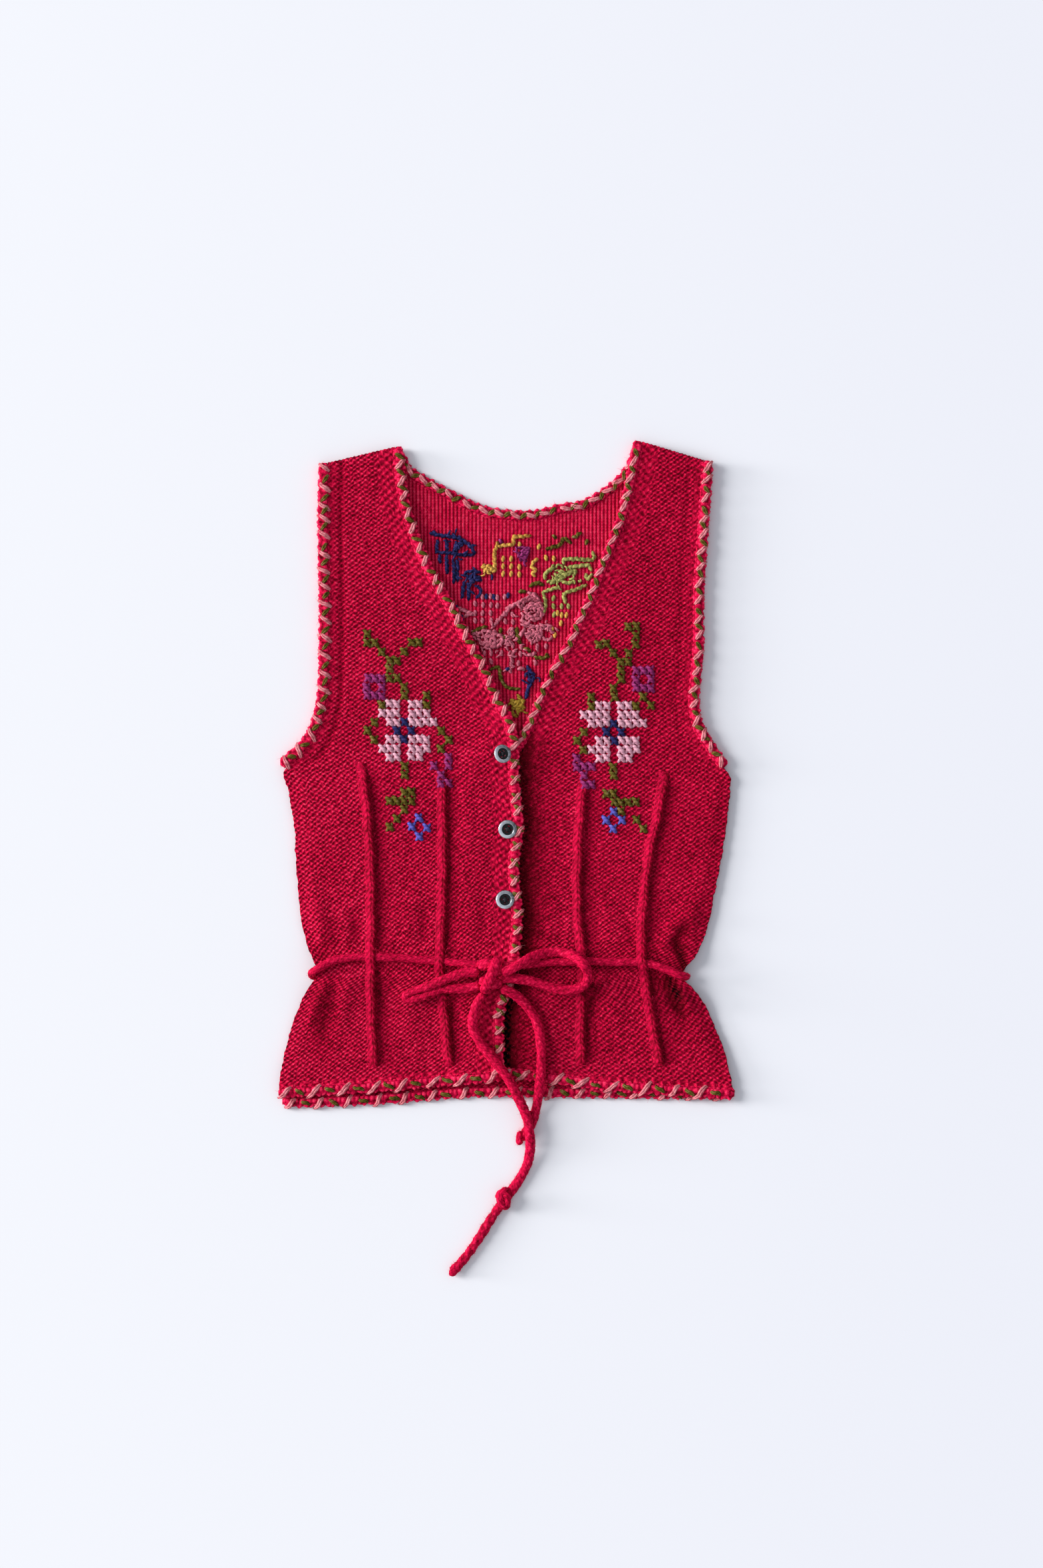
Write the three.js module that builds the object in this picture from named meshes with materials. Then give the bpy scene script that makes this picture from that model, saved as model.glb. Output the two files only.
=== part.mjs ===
// A hand-knitted wool vest laid flat on a table, front up, with its waist tie in a bow.
// Millimetres. +X is to the right, +Y runs from hem to neck, +Z is up from the table, which is z = 0.
// The origin is under the middle of the vest. Knitted panels are closed walls of one thickness;
// the two fronts lie on the back, and the front with the buttonholes lies on the other one.
import * as THREE from 'three';

// ---------- driving dimensions ----------
const CLOTH = 2.4;          // knitted wall
const GAP = 0.3;            // air between pieces that touch
const LOFT = 1.5;           // how far a front floats over the back between its edges
const EDGE_WIDTH = 8;       // crocheted edging, from the panel's edge outwards
const EDGE_THICK = 3.4;
const EDGE_DROP = 0.2;      // the edging hangs this far under a front's lower face
const SCALLOP = 13.6;       // one scallop of the edging
const SCALLOP_DEPTH = 1.6;
const RIB_WIDTH = 6.4;      // chain ribs on the fronts
const RIB_HEIGHT = 2.2;
const CORD = 5.8;           // twisted wool tie
const CORD_FLAT = 4.2;      // its thickness where the back lies on it
const BACK_INSET = 2;       // the back's sides stay this far inside the fronts'
const BUTTON_RADIUS = 7.5;
const BUTTON_THICK = 2.2;
const WAIST_Y = -160;       // line on which the tie crosses the back
const TUCK = 4.7;           // lift of every panel over the tie
const TUCK_FLAT = 7;        // half the width of the flat top of that lift
const TUCK_SLOPE = 27;      // length of each of its slopes
const LAP_LIFT = 4.4;       // lift of the lapped front over the other front and its edging
const UNDERLAP_LOFT = 0.5;  // the lower front lies closer to the back where it is lapped
const TOP_Y = 190;          // last level line; above it the rows lean towards the shoulder line

// ---------- outlines: x of an edge at each height y ----------
// Side of each front from hem to underarm, then the edge that the armhole edging is worked on.
const LEFT_SIDE = columns('y x', [
  [-262, -182], [-240, -180.5], [-220, -176.5], [-200, -171], [-185, -165.5], [-172, -159.5],
  [-166, -155], [-160, -151.5], [-154, -151.5], [-148, -153.5], [-138, -158], [-119, -163], [-94, -166], [-69, -168], [-40, -169.5],
  [-10, -174.5], [0, -178], [9, -174], [20, -162], [34, -152], [54, -145.5], [80, -143], [110, -142.5],
  [140, -142.5], [167, -143], [204, -143.5], [252, -142.5]]);
const RIGHT_SIDE = columns('y x', [
  [-262, 184], [-240, 178.5], [-220, 174], [-200, 166], [-185, 159.5], [-172, 150.5], [-166, 144.5],
  [-160, 139.5], [-154, 142], [-148, 147.5], [-138, 154], [-119, 161], [-94, 166], [-69, 171], [-40, 175.5], [-10, 178.5],
  [0, 178], [10, 168.5], [24, 158.5], [38, 150.5], [56, 147], [81, 148.5], [105, 150.5], [130, 150.5],
  [155, 151], [180, 153], [204, 154.5], [229, 156.5], [252, 157.5]]);
// Opening and V-neck edge of the front that laps over, and of the one beneath it.
const OVER_CENTRE = columns('y x', [
  [-250, -14], [-240, -12], [-225, -9], [-205, -9], [-190, -8.5], [-175, -5], [-160, 0], [-143, 3.5],
  [-113, 6], [-89, 4], [-69, 3], [-56, 5], [-41, 7], [-30, 6], [-4, 3.5], [22, 3], [32, 2], [45, -2],
  [60, -11], [87, -22.5], [113, -37], [135, -48], [155, -60], [171, -68], [199, -79], [229, -86],
  [264, -89]]);
const UNDER_CENTRE = columns('y x', [
  [-242, -5], [-60, -5], [-16, -4.5], [-2, -2], [12, 5], [28, 15], [46, 24.5], [69, 34], [85, 42],
  [103, 53], [122, 61], [141, 70], [163, 78.5], [180, 85], [203, 94], [232, 101], [267, 108]]);
// Lower edges, shoulder lines and the back of the neck: y at each x.
const OVER_HEM = columns('x y', [[-190, -251], [-110, -246], [-45, -240.5], [0, -236.5]]);
const UNDER_HEM = columns('x y', [[-10, -233.5], [41, -239.5], [73, -244], [126, -248], [186, -252]]);
const BACK_HEM = columns('x y', [[-186, -258], [-150, -258], [-86, -254.5], [-25, -250], [52, -250.5], [186, -252]]);
const OVER_SHOULDER = columns('x y', [[-143, 249], [-88, 262]]);
const UNDER_SHOULDER = columns('x y', [[108, 266], [158, 251]]);
const BACK_TOP = columns('x y', [
  [-143, 248], [-90, 257], [-82, 243], [-66, 232], [-46, 221], [-22, 209.5], [1, 205], [24, 205],
  [44, 210], [62, 213], [80, 223], [96, 237], [104, 250], [109, 262], [158, 250]]);
// The tie's line across the fronts.
const TIE_LINE = columns('x y', [
  [-160, -158], [-147, -148], [-110, -144.5], [-52, -148], [-5, -151], [65, -148], [108, -149],
  [129, -154], [150, -160]]);
// Chain ribs: their middle line, from the seed-stitch band over the hem to the bust.
const RIBS = {
  rib_1: columns('y x', [[-233, -106], [-188, -108], [-113, -108], [-64, -109], [-15, -113], [12, -118]]),
  rib_2: columns('y x', [[-232, -46], [-188, -50], [-148, -53], [-113, -52], [-64, -51], [9, -52]]),
  rib_3: columns('y x', [[-231, 59], [-188, 59], [-148, 60], [-113, 56.5], [-64, 56.5], [-15, 60], [3, 63]]),
  rib_4: columns('y x', [[-232, 122], [-188, 114], [-148, 108], [-113, 108], [-64, 113], [-27, 121], [4, 126]]),
};
// Folds that the tie pulls into the fronts: a soft ridge from one end to the other.
const FOLDS = columns('x0 y0 x1 y1 width height', [
  [128, -128, 150, -110, 9, 3.6],    // right, above the tie
  [120, -140, 104, -112, 7, 1.8],
  [131, -166, 146, -184, 8, 4.2],    // right, below the tie
  [118, -168, 128, -200, 7, 2.0],
  [88, -162, 84, -196, 9, 1.6],
  [-146, -132, -150, -104, 9, 2.6],  // left, above the tie
  [-128, -134, -130, -108, 8, 1.6],
  [-144, -168, -156, -192, 9, 2.8],  // left, below the tie
  [-126, -166, -132, -196, 8, 1.8],
  [-80, -134, -78, -98, 10, 1.4],
  [-78, -164, -76, -204, 10, 1.6],
  [-26, -168, -28, -206, 9, 1.3],
  [30, -132, 32, -98, 10, 1.4],
  [33, -168, 36, -206, 10, 1.6],
  [82, -132, 84, -102, 9, 1.2],
]);
// Level rows of every panel, close together where the tie pulls the knitting in.
const LEVELS = [-228, -214, -203, -194, -186, -179, -172, -166, -160, -154, -148, -142, -135, -127, -117,
  -103, -84, -60, -34, -10, 8, 20, 32, 46, 64, 86, 112, 140, 166, TOP_Y];
const OVER_ACROSS = [0, 0.06, 0.14, 0.23, 0.32, 0.41, 0.5, 0.58, 0.66, 0.73, 0.8, 0.86, 0.93, 1];
const UNDER_ACROSS = [0, 0.07, 0.14, 0.2, 0.27, 0.34, 0.42, 0.5, 0.59, 0.68, 0.77, 0.86, 0.94, 1];
const BACK_ACROSS = [-143, -117, -90, -82, -66, -46, -22, 1, 24, 44, 62, 80, 96, 104, 109, 133, 158];
const BUTTONS = columns('x y tilt turn', [[-3, 17, 30, 18], [1, -43, 5, -60], [-1, -99, 4, 40]]);

// ---------- reading the tables ----------
function columns(names, rows) {
  const keys = names.split(' ');
  return rows.map(row => Object.fromEntries(keys.map((key, i) => [key, row[i]])));
}

// A smooth curve through a table's rows: the value of its second column at a value of the first.
function read(table, at) {
  const [key, value] = Object.keys(table[0]);
  let i = table.findIndex(row => row[key] > at) - 1;
  if (i < 0) i = at < table[0][key] ? 0 : table.length - 2;
  const row = k => table[Math.min(Math.max(k, 0), table.length - 1)];
  const slope = k => (row(k + 1)[value] - row(k - 1)[value]) / (row(k + 1)[key] - row(k - 1)[key]);
  const span = row(i + 1)[key] - row(i)[key];
  const t = Math.min(Math.max((at - row(i)[key]) / span, 0), 1);
  const rise = row(i + 1)[value] - row(i)[value];
  const start = slope(i) * span;
  const end = slope(i + 1) * span;
  return row(i)[value] + t * (start + t * (3 * rise - 2 * start - end + t * (start + end - 2 * rise)));
}

const lerp = (a, b, t) => a + (b - a) * t;
const smooth = t => {
  const s = Math.min(Math.max(t, 0), 1);
  return s * s * (3 - 2 * s);
};

// ---------- heights of the layers ----------
const tuck = y => TUCK * (1 - smooth((Math.abs(y - WAIST_Y) - TUCK_FLAT) / TUCK_SLOPE));

// 0 under the tie, 1 away from it.
const clearOfTie = (x, y) => smooth((Math.abs(y - read(TIE_LINE, x)) - 4) / 14);

function foldHeight(x, y) {
  let height = 0;
  for (const fold of FOLDS) {
    const along = new THREE.Vector2(fold.x1 - fold.x0, fold.y1 - fold.y0);
    const from = new THREE.Vector2(x - fold.x0, y - fold.y0);
    const t = from.dot(along) / along.lengthSq();
    const across = along.cross(from) / along.length();
    const ends = smooth((t + 0.35) / 0.5) * smooth((1.5 - t) / 0.8);
    height += fold.height * ends * Math.exp(-((across / fold.width) ** 2));
  }
  return height;
}

// A front settles onto the back along its side seam, but not at the edgings of hem and armhole.
function sideLoft(x, y, side) {
  const fromSide = smooth(Math.abs(x - side) / 14);
  return Math.max(fromSide, smooth((-222 - y) / 14), smooth((y + 14) / 14));
}

function overBottom(x, y) {
  const lapEdge = read(UNDER_CENTRE, y) - EDGE_WIDTH;
  const lapped = smooth((x - lapEdge + 42) / 27) * (1 - smooth((y - 46) / 40));
  const loose = (LOFT + foldHeight(x, y)) * clearOfTie(x, y) * sideLoft(x, y, read(LEFT_SIDE, y));
  return CLOTH + GAP + tuck(y) + Math.max(lerp(loose, LAP_LIFT, lapped), loose);
}

function underBottom(x, y) {
  const lapped = (1 - smooth((x - read(UNDER_CENTRE, y) - 20) / 26)) * (1 - smooth((y - 46) / 40));
  const loose = (LOFT + foldHeight(x, y)) * clearOfTie(x, y) * sideLoft(x, y, read(RIGHT_SIDE, y));
  return CLOTH + GAP + tuck(y) + lerp(loose, UNDERLAP_LOFT, lapped);
}

// ---------- panels ----------
// A panel is a grid of points, rows from hem to shoulder and columns from left to right,
// each with the height of its lower face; the upper face is the cloth's thickness above it.
function panelGrid(left, right, hem, top, across, bottom) {
  const edgeRow = (curve, u) => {
    let y = read(curve, 0);
    let x = 0;
    for (let pass = 0; pass < 6; pass++) {
      x = lerp(left(y), right(y), u);
      y = read(curve, x);
    }
    return { x, y };
  };
  const point = (x, y) => ({ x, y, z: bottom(x, y) });
  const hemRow = across.map(u => edgeRow(hem, u));
  const topRow = across.map(u => edgeRow(top, u));
  const rows = [hemRow.map(p => point(p.x, p.y))];
  for (const y of LEVELS) rows.push(across.map(u => point(lerp(left(y), right(y), u), y)));
  const last = across.map(u => lerp(left(TOP_Y), right(TOP_Y), u));
  for (const share of [1 / 3, 2 / 3, 1]) {
    rows.push(across.map((u, j) => {
      const y = lerp(TOP_Y, topRow[j].y, share);
      const x = lerp(lerp(left(y), right(y), u), lerp(last[j], topRow[j].x, share), share);
      return point(x, y);
    }));
  }
  return rows;
}

// A closed mesh, turned so that its faces point outwards.
function closedGeometry(points, faces) {
  let volume = 0;
  for (const [a, b, c] of faces) volume += points[a].dot(points[b].clone().cross(points[c]));
  const flat = faces.flatMap(([a, b, c]) => (volume < 0 ? [a, c, b] : [a, b, c]));
  const geometry = new THREE.BufferGeometry();
  geometry.setAttribute('position', new THREE.Float32BufferAttribute(points.flatMap(p => [p.x, p.y, p.z]), 3));
  geometry.setIndex(flat);
  geometry.computeVertexNormals();
  return geometry;
}

function wall(grid, thickness) {
  const rows = grid.length;
  const across = grid[0].length;
  const points = [];
  for (const lift of [0, thickness]) {
    for (const row of grid) for (const p of row) points.push(new THREE.Vector3(p.x, p.y, p.z + lift));
  }
  const id = (i, j, upper) => (upper ? rows * across : 0) + i * across + j;
  const faces = [];
  const quad = (a, b, c, d) => faces.push([a, b, c], [a, c, d]);
  for (let i = 0; i + 1 < rows; i++) {
    for (let j = 0; j + 1 < across; j++) {
      quad(id(i, j, 1), id(i, j + 1, 1), id(i + 1, j + 1, 1), id(i + 1, j, 1));
      quad(id(i, j, 0), id(i + 1, j, 0), id(i + 1, j + 1, 0), id(i, j + 1, 0));
    }
    quad(id(i, 0, 0), id(i, 0, 1), id(i + 1, 0, 1), id(i + 1, 0, 0));
    quad(id(i, across - 1, 0), id(i + 1, across - 1, 0), id(i + 1, across - 1, 1), id(i, across - 1, 1));
  }
  for (let j = 0; j + 1 < across; j++) {
    quad(id(0, j, 0), id(0, j + 1, 0), id(0, j + 1, 1), id(0, j, 1));
    quad(id(rows - 1, j, 0), id(rows - 1, j, 1), id(rows - 1, j + 1, 1), id(rows - 1, j + 1, 0));
  }
  return closedGeometry(points, faces);
}

// Height of a panel's upper face at a point, on the same triangles as its wall.
function upperFace(grid, x, y) {
  for (let i = 0; i + 1 < grid.length; i++) {
    for (let j = 0; j + 1 < grid[0].length; j++) {
      const [a, b, c, d] = [grid[i][j], grid[i][j + 1], grid[i + 1][j + 1], grid[i + 1][j]];
      for (const [p, q, r] of [[a, b, c], [a, c, d]]) {
        const area = (q.x - p.x) * (r.y - p.y) - (r.x - p.x) * (q.y - p.y);
        const s = ((q.x - x) * (r.y - y) - (r.x - x) * (q.y - y)) / area;
        const t = ((r.x - x) * (p.y - y) - (p.x - x) * (r.y - y)) / area;
        if (s >= -1e-9 && t >= -1e-9 && s + t <= 1 + 1e-9) {
          return s * p.z + t * q.z + (1 - s - t) * r.z + CLOTH;
        }
      }
    }
  }
  return 0;
}

// ---------- strips worked along an edge or on a panel ----------
// Rings of points joined into one closed strip with a flat cap at each end.
function strip(rings) {
  const count = rings[0].length;
  const points = rings.flat();
  const faces = [];
  for (let i = 0; i + 1 < rings.length; i++) {
    for (let k = 0; k < count; k++) {
      const [a, b] = [i * count + k, i * count + (k + 1) % count];
      faces.push([a, b, b + count], [a, b + count, a + count]);
    }
  }
  const end = points.length - count;
  for (let k = 1; k + 1 < count; k++) faces.push([0, k + 1, k], [end, end + k, end + k + 1]);
  return closedGeometry(points, faces);
}

// Points at even steps along a line of points, with heights.
function evenly(line, step) {
  const lengths = [0];
  for (let i = 1; i < line.length; i++) {
    lengths.push(lengths[i - 1] + Math.hypot(line[i].x - line[i - 1].x, line[i].y - line[i - 1].y));
  }
  const total = lengths[lengths.length - 1];
  const count = Math.max(2, Math.round(total / step));
  return Array.from({ length: count + 1 }, (_, n) => {
    const at = total * n / count;
    const found = lengths.findIndex(length => length >= at);
    const i = found < 0 ? line.length - 1 : Math.max(found, 1);
    const t = (at - lengths[i - 1]) / (lengths[i] - lengths[i - 1]);
    return {
      x: lerp(line[i - 1].x, line[i].x, t),
      y: lerp(line[i - 1].y, line[i].y, t),
      z: lerp(line[i - 1].z, line[i].z, t),
    };
  });
}

// Crocheted edging along a panel's edge; outward is the side it is worked on, seen along the line.
function edging(line, { leftOfLine = false, drop = EDGE_DROP, trim = [0, 0] }) {
  const path = evenly(line, SCALLOP / 2);
  const shift = (p, q, by) => {
    const length = Math.hypot(q.x - p.x, q.y - p.y);
    return { x: p.x + (q.x - p.x) * by / length, y: p.y + (q.y - p.y) * by / length, z: p.z };
  };
  path[0] = shift(path[0], path[1], trim[0]);
  path[path.length - 1] = shift(path[path.length - 1], path[path.length - 2], trim[1]);
  return strip(path.map((p, n) => {
    const before = path[Math.max(n - 1, 0)];
    const after = path[Math.min(n + 1, path.length - 1)];
    const length = Math.hypot(after.x - before.x, after.y - before.y);
    const turn = leftOfLine ? 1 : -1;
    const out = { x: -turn * (after.y - before.y) / length, y: turn * (after.x - before.x) / length };
    const width = EDGE_WIDTH - (n % 2 ? 0 : SCALLOP_DEPTH);
    const low = p.z - drop;
    const at = (d, z) => new THREE.Vector3(p.x + out.x * d, p.y + out.y * d, z);
    return [
      at(2 * GAP, low), at(width - 1.5, low), at(width, low + EDGE_THICK * 0.45),
      at(width - 1.5, low + EDGE_THICK), at(2 * GAP, low + EDGE_THICK * 0.85)];
  }));
}

// A chain rib lying on a front and arching over the tie.
function rib(grid, middle) {
  const low = middle[0].y;
  const high = middle[middle.length - 1].y;
  const tieY = read(TIE_LINE, read(middle, WAIST_Y + 12));
  const arch = [-22, -12, -6, 0, 6, 12, 22].map(step => tieY + step);
  const between = LEVELS.filter(y => y > low + 4 && y < high - 4 && Math.abs(y - tieY) > 25);
  const heights = [low, ...between, high, ...arch].sort((a, b) => a - b);
  const tieZ = upperFace(grid, read(middle, tieY), tieY) + GAP + CORD / 2;
  return strip(heights.map(y => {
    const x = read(middle, y);
    const half = RIB_WIDTH / 2;
    const ground = Math.max(...[-half, 0, half].map(dx => upperFace(grid, x + dx, y))) + GAP * 2.2;
    const over = tieZ + CORD / 2 + 5 * GAP - 2.6 * (Math.abs(y - tieY) / 6) ** 1.5;
    const base = Math.max(ground, over);
    const at = (dx, dz) => new THREE.Vector3(x + dx, y, base + dz);
    return [
      at(-half, 0), at(half, 0), at(half * 0.8, RIB_HEIGHT * 0.7), at(0, RIB_HEIGHT),
      at(-half * 0.8, RIB_HEIGHT * 0.7)];
  }));
}

// ---------- the tie ----------
// Each length of the tie is a smooth curve through points x, y, z of its middle.
const KNOT = { x: -13, y: -158, z: 20.8, halfWidth: 7.5, halfLength: 12.5, halfHeight: 6 };
const TIE_ROUTES = {
  tie_left: [
    [-22, -151, 17.5], [-31, -150, 17.1], [-40, -149, 15.8], [-52, -148, 13.2], [-64, -147, 12.8],
    [-80, -145.5, 12.5], [-96, -144.8, 12.3], [-110, -144.5, 12.3], [-124, -145, 12.4], [-136, -147, 12.8],
    [-145, -150.4, 13.6], [-152.4, -154, 13.8], [-157.2, -157, 11], [-158.4, -158.8, 7.2], [-156.6, -160, 4],
    [-153.4, -160, 3.1]],
  tie_right: [
    [-3.6, -151, 17.8], [6, -150.5, 18.2], [18, -150, 15.8], [32, -149, 13.6], [48, -148.4, 13.2],
    [62, -148, 13.1], [78, -148.2, 13.1], [94, -148.6, 13.1], [108, -149, 13.2], [120, -151.6, 13.4],
    [131, -155.6, 13.5], [139.6, -158.6, 13.8], [145, -160, 11], [146.6, -160.4, 7.2], [144.8, -160.2, 4],
    [141.4, -160, 3.1]],
  tie_loop_left: [
    [-21.6, -157, 21], [-32, -159, 20.4], [-45, -161.4, 19.2], [-55, -164, 18.4], [-65, -167, 17],
    [-74, -170.5, 15.8], [-81, -175, 15], [-79, -179.4, 14], [-71, -178.4, 14.6], [-60, -174.6, 16.4],
    [-51, -172, 17.8], [-40, -170, 17.6], [-30, -168.8, 17.8], [-20.4, -166.6, 18.4]],
  tie_loop_right: [
    [-3.6, -157, 23.4], [6, -152.4, 24.4], [14, -147.6, 22.8], [23, -143.4, 17.6], [35, -140.8, 13.6],
    [47, -141.4, 14.8], [55.4, -144.6, 20], [61, -149.6, 23.6], [64.6, -157, 20.8], [62.6, -165.4, 17.8],
    [55, -170, 16.6], [44, -170.4, 15.8], [32, -167.4, 15.8], [20, -163.6, 17], [8, -161.4, 18.8],
    [-4.4, -161, 20]],
  tie_tail_long: [
    [-17.6, -173.4, 17.2], [-22.4, -180, 16.2], [-26, -190, 14.6], [-26.6, -201, 13.4], [-22, -211, 13.3],
    [-15.4, -220, 13.5], [-8, -229, 13.8], [-1, -238, 13.6], [5, -248, 12], [11, -260, 10.4],
    [16, -272, 9.7], [18.4, -284, 9.7], [19, -296, 7.4], [17, -309, 4], [10, -323, 3.1],
    [-1, -338, 3.1], [-11, -352, 3.1], [-21, -368, 3.1], [-33, -385, 3.1], [-44, -397, 3.1]],
  tie_tail_short: [
    [-4.6, -169, 18.2], [2, -171.4, 18.6], [9, -176, 15.8], [16, -183.4, 12.8], [22, -192, 11.2],
    [26, -204, 10.5], [27.6, -217, 10.3], [27.6, -230, 10.3], [27, -240, 10.8], [26.2, -249, 10.2],
    [25, -258, 7.4], [23.4, -267, 4.4], [20, -278, 3.1], [11, -291, 3.1]],
};
const TIE_STEPS = {
  tie_left: 12, tie_right: 12, tie_loop_left: 12, tie_loop_right: 14, tie_tail_long: 16, tie_tail_short: 12,
};

function disc(radiusX, radiusY, sides) {
  return new THREE.Shape(Array.from({ length: sides }, (_, k) => {
    const angle = 2 * Math.PI * (k + 0.5) / sides;
    return new THREE.Vector2(radiusX * Math.cos(angle), radiusY * Math.sin(angle));
  }));
}

function cord(points, steps, section) {
  const path = new THREE.CatmullRomCurve3(points.map(p => new THREE.Vector3(...p)));
  return new THREE.ExtrudeGeometry(section, { steps, bevelEnabled: false, extrudePath: path });
}

function knotGeometry() {
  return new THREE.SphereGeometry(1, 10, 8).scale(KNOT.halfWidth, KNOT.halfLength, KNOT.halfHeight);
}

// ---------- buttons ----------
function buttonGeometry() {
  const outline = new THREE.Shape().absarc(0, 0, BUTTON_RADIUS - 0.6, 0, 2 * Math.PI);
  for (let k = 0; k < 4; k++) {
    const angle = Math.PI / 4 + k * Math.PI / 2;
    const hole = new THREE.Path().absarc(2 * Math.cos(angle), 2 * Math.sin(angle), 0.8, 0, 2 * Math.PI, true);
    outline.holes.push(hole);
  }
  return new THREE.ExtrudeGeometry(outline, {
    depth: BUTTON_THICK - 0.8, bevelThickness: 0.4, bevelSize: 0.6, bevelOffset: 0, bevelSegments: 1, curveSegments: 6,
  }).translate(0, 0, 0.4 - BUTTON_THICK / 2);
}

// ---------- assembly ----------
const wool = (color) => new THREE.MeshStandardMaterial({ color, roughness: 0.95, metalness: 0 });
const MAIN_WOOL = wool(0xb81238);
const EDGE_WOOL = wool(0xc01a40);
const CORD_WOOL = wool(0xbe1440);
const SHELL = new THREE.MeshStandardMaterial({ color: 0x9aa0a8, roughness: 0.25, metalness: 0.4 });

const vest = new THREE.Group();
function add(name, geometry, material) {
  const mesh = new THREE.Mesh(geometry, material);
  mesh.name = name;
  vest.add(mesh);
  return mesh;
}

const leftSide = y => read(LEFT_SIDE, y);
const rightSide = y => read(RIGHT_SIDE, y);
const seamInset = y => BACK_INSET * (1 - smooth((y + 16) / 14));
const backAcross = BACK_ACROSS.map(x => (x - BACK_ACROSS[0]) / (BACK_ACROSS.at(-1) - BACK_ACROSS[0]));
const back = panelGrid(
  y => leftSide(y) + seamInset(y), y => rightSide(y) - seamInset(y),
  BACK_HEM, BACK_TOP, backAcross, (x, y) => tuck(y));
const over = panelGrid(leftSide, y => read(OVER_CENTRE, y), OVER_HEM, OVER_SHOULDER, OVER_ACROSS, overBottom);
const under = panelGrid(y => read(UNDER_CENTRE, y), rightSide, UNDER_HEM, UNDER_SHOULDER, UNDER_ACROSS, underBottom);
add('back_panel', wall(back, CLOTH), MAIN_WOOL);
add('front_over', wall(over, CLOTH), MAIN_WOOL);
add('front_under', wall(under, CLOTH), MAIN_WOOL);

// Edges of a panel as lines of points.
const UNDERARM_ROW = LEVELS.findIndex(y => y > 0) + 1;
const leftEdge = grid => grid.map(row => row[0]);
const rightEdge = grid => grid.map(row => row.at(-1));
const beyond = (line, by) => {
  const [p, q] = line.slice(-2);
  const length = Math.hypot(q.x - p.x, q.y - p.y);
  return [...line, { x: q.x + (q.x - p.x) * by / length, y: q.y + (q.y - p.y) * by / length, z: q.z }];
};
const reversed = line => [...line].reverse();
const CORNER = EDGE_WIDTH - SCALLOP_DEPTH;

add('edging_front_over', edging(rightEdge(over), { trim: [2.5, 0.5] }), EDGE_WOOL);
add('edging_front_under', edging(leftEdge(under), { leftOfLine: true, trim: [2.5, 0.5] }), EDGE_WOOL);
add('edging_hem_over', edging(beyond(over[0], CORNER), {}), EDGE_WOOL);
add('edging_hem_under', edging(beyond(reversed(under[0]), CORNER), { leftOfLine: true }), EDGE_WOOL);
add('edging_hem_back', edging(back[0], { drop: 0 }), EDGE_WOOL);
add('edging_armhole_left_front', edging(leftEdge(over).slice(UNDERARM_ROW), { leftOfLine: true }), EDGE_WOOL);
add('edging_armhole_right_front', edging(rightEdge(under).slice(UNDERARM_ROW), {}), EDGE_WOOL);
add('edging_armhole_left_back', edging(leftEdge(back).slice(UNDERARM_ROW), { leftOfLine: true, drop: 0 }), EDGE_WOOL);
add('edging_armhole_right_back', edging(rightEdge(back).slice(UNDERARM_ROW), { drop: 0 }), EDGE_WOOL);
const neck = back.at(-1).slice(BACK_ACROSS.indexOf(-90), BACK_ACROSS.indexOf(109) + 1);
add('edging_neck_back', edging(neck, { leftOfLine: true, drop: 0 }), EDGE_WOOL);

for (const [name, middle] of Object.entries(RIBS)) {
  add(name, rib(middle[0].x < 0 ? over : under, middle), MAIN_WOOL);
}

BUTTONS.forEach((place, k) => {
  const button = add(`button_${k + 1}`, buttonGeometry(), SHELL);
  const tilt = THREE.MathUtils.degToRad(place.tilt);
  const rise = BUTTON_RADIUS * Math.sin(tilt) + BUTTON_THICK / 2 * Math.cos(tilt) + 2 * GAP;
  button.position.set(place.x, place.y, upperFace(over, place.x, place.y) + rise);
  button.rotation.set(0, tilt, THREE.MathUtils.degToRad(place.turn), 'ZYX');
});

for (const [name, route] of Object.entries(TIE_ROUTES)) {
  add(name, cord(route, TIE_STEPS[name], disc(CORD / 2, CORD / 2, 8)), CORD_WOOL);
}
const backRun = [-152.6, -76, 0, 70, 140.6].map(x => [x, WAIST_Y, CORD_FLAT / 2 + GAP]);
add('tie_back', cord(backRun, 6, disc(CORD_FLAT / 2, CORD / 2 + 0.6, 8)), CORD_WOOL);
add('tie_knot', knotGeometry(), CORD_WOOL).position.set(KNOT.x, KNOT.y, KNOT.z);

export default vest;
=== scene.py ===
# %% [markdown]
# # A hand-knitted vest, laid flat
# The vest is wool, knitted with the purl side out, edged with crochet and whip stitches, sewn with
# cross-stitch flowers, and tied at the waist with a narrow knitted cord. Its solids come from the
# frame. This lesson gives each of them its knitted, crocheted or sewn surface, in the same place.
# Lengths in the tables are millimetres, and `MM` turns them into Blender's metres.

# %% Load the frame
import math

import bpy
import mathutils
import numpy as np
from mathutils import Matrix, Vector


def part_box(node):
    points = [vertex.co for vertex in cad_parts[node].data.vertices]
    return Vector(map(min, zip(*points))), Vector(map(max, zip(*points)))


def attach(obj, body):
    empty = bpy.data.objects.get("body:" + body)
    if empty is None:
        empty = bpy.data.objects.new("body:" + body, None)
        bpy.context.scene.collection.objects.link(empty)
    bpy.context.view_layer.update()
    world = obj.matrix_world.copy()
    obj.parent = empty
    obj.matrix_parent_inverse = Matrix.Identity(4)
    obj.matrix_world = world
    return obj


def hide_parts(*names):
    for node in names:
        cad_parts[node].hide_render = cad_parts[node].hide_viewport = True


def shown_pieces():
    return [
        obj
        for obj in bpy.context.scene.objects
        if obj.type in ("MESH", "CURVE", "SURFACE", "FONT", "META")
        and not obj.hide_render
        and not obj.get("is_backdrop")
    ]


MM = 0.001
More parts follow.
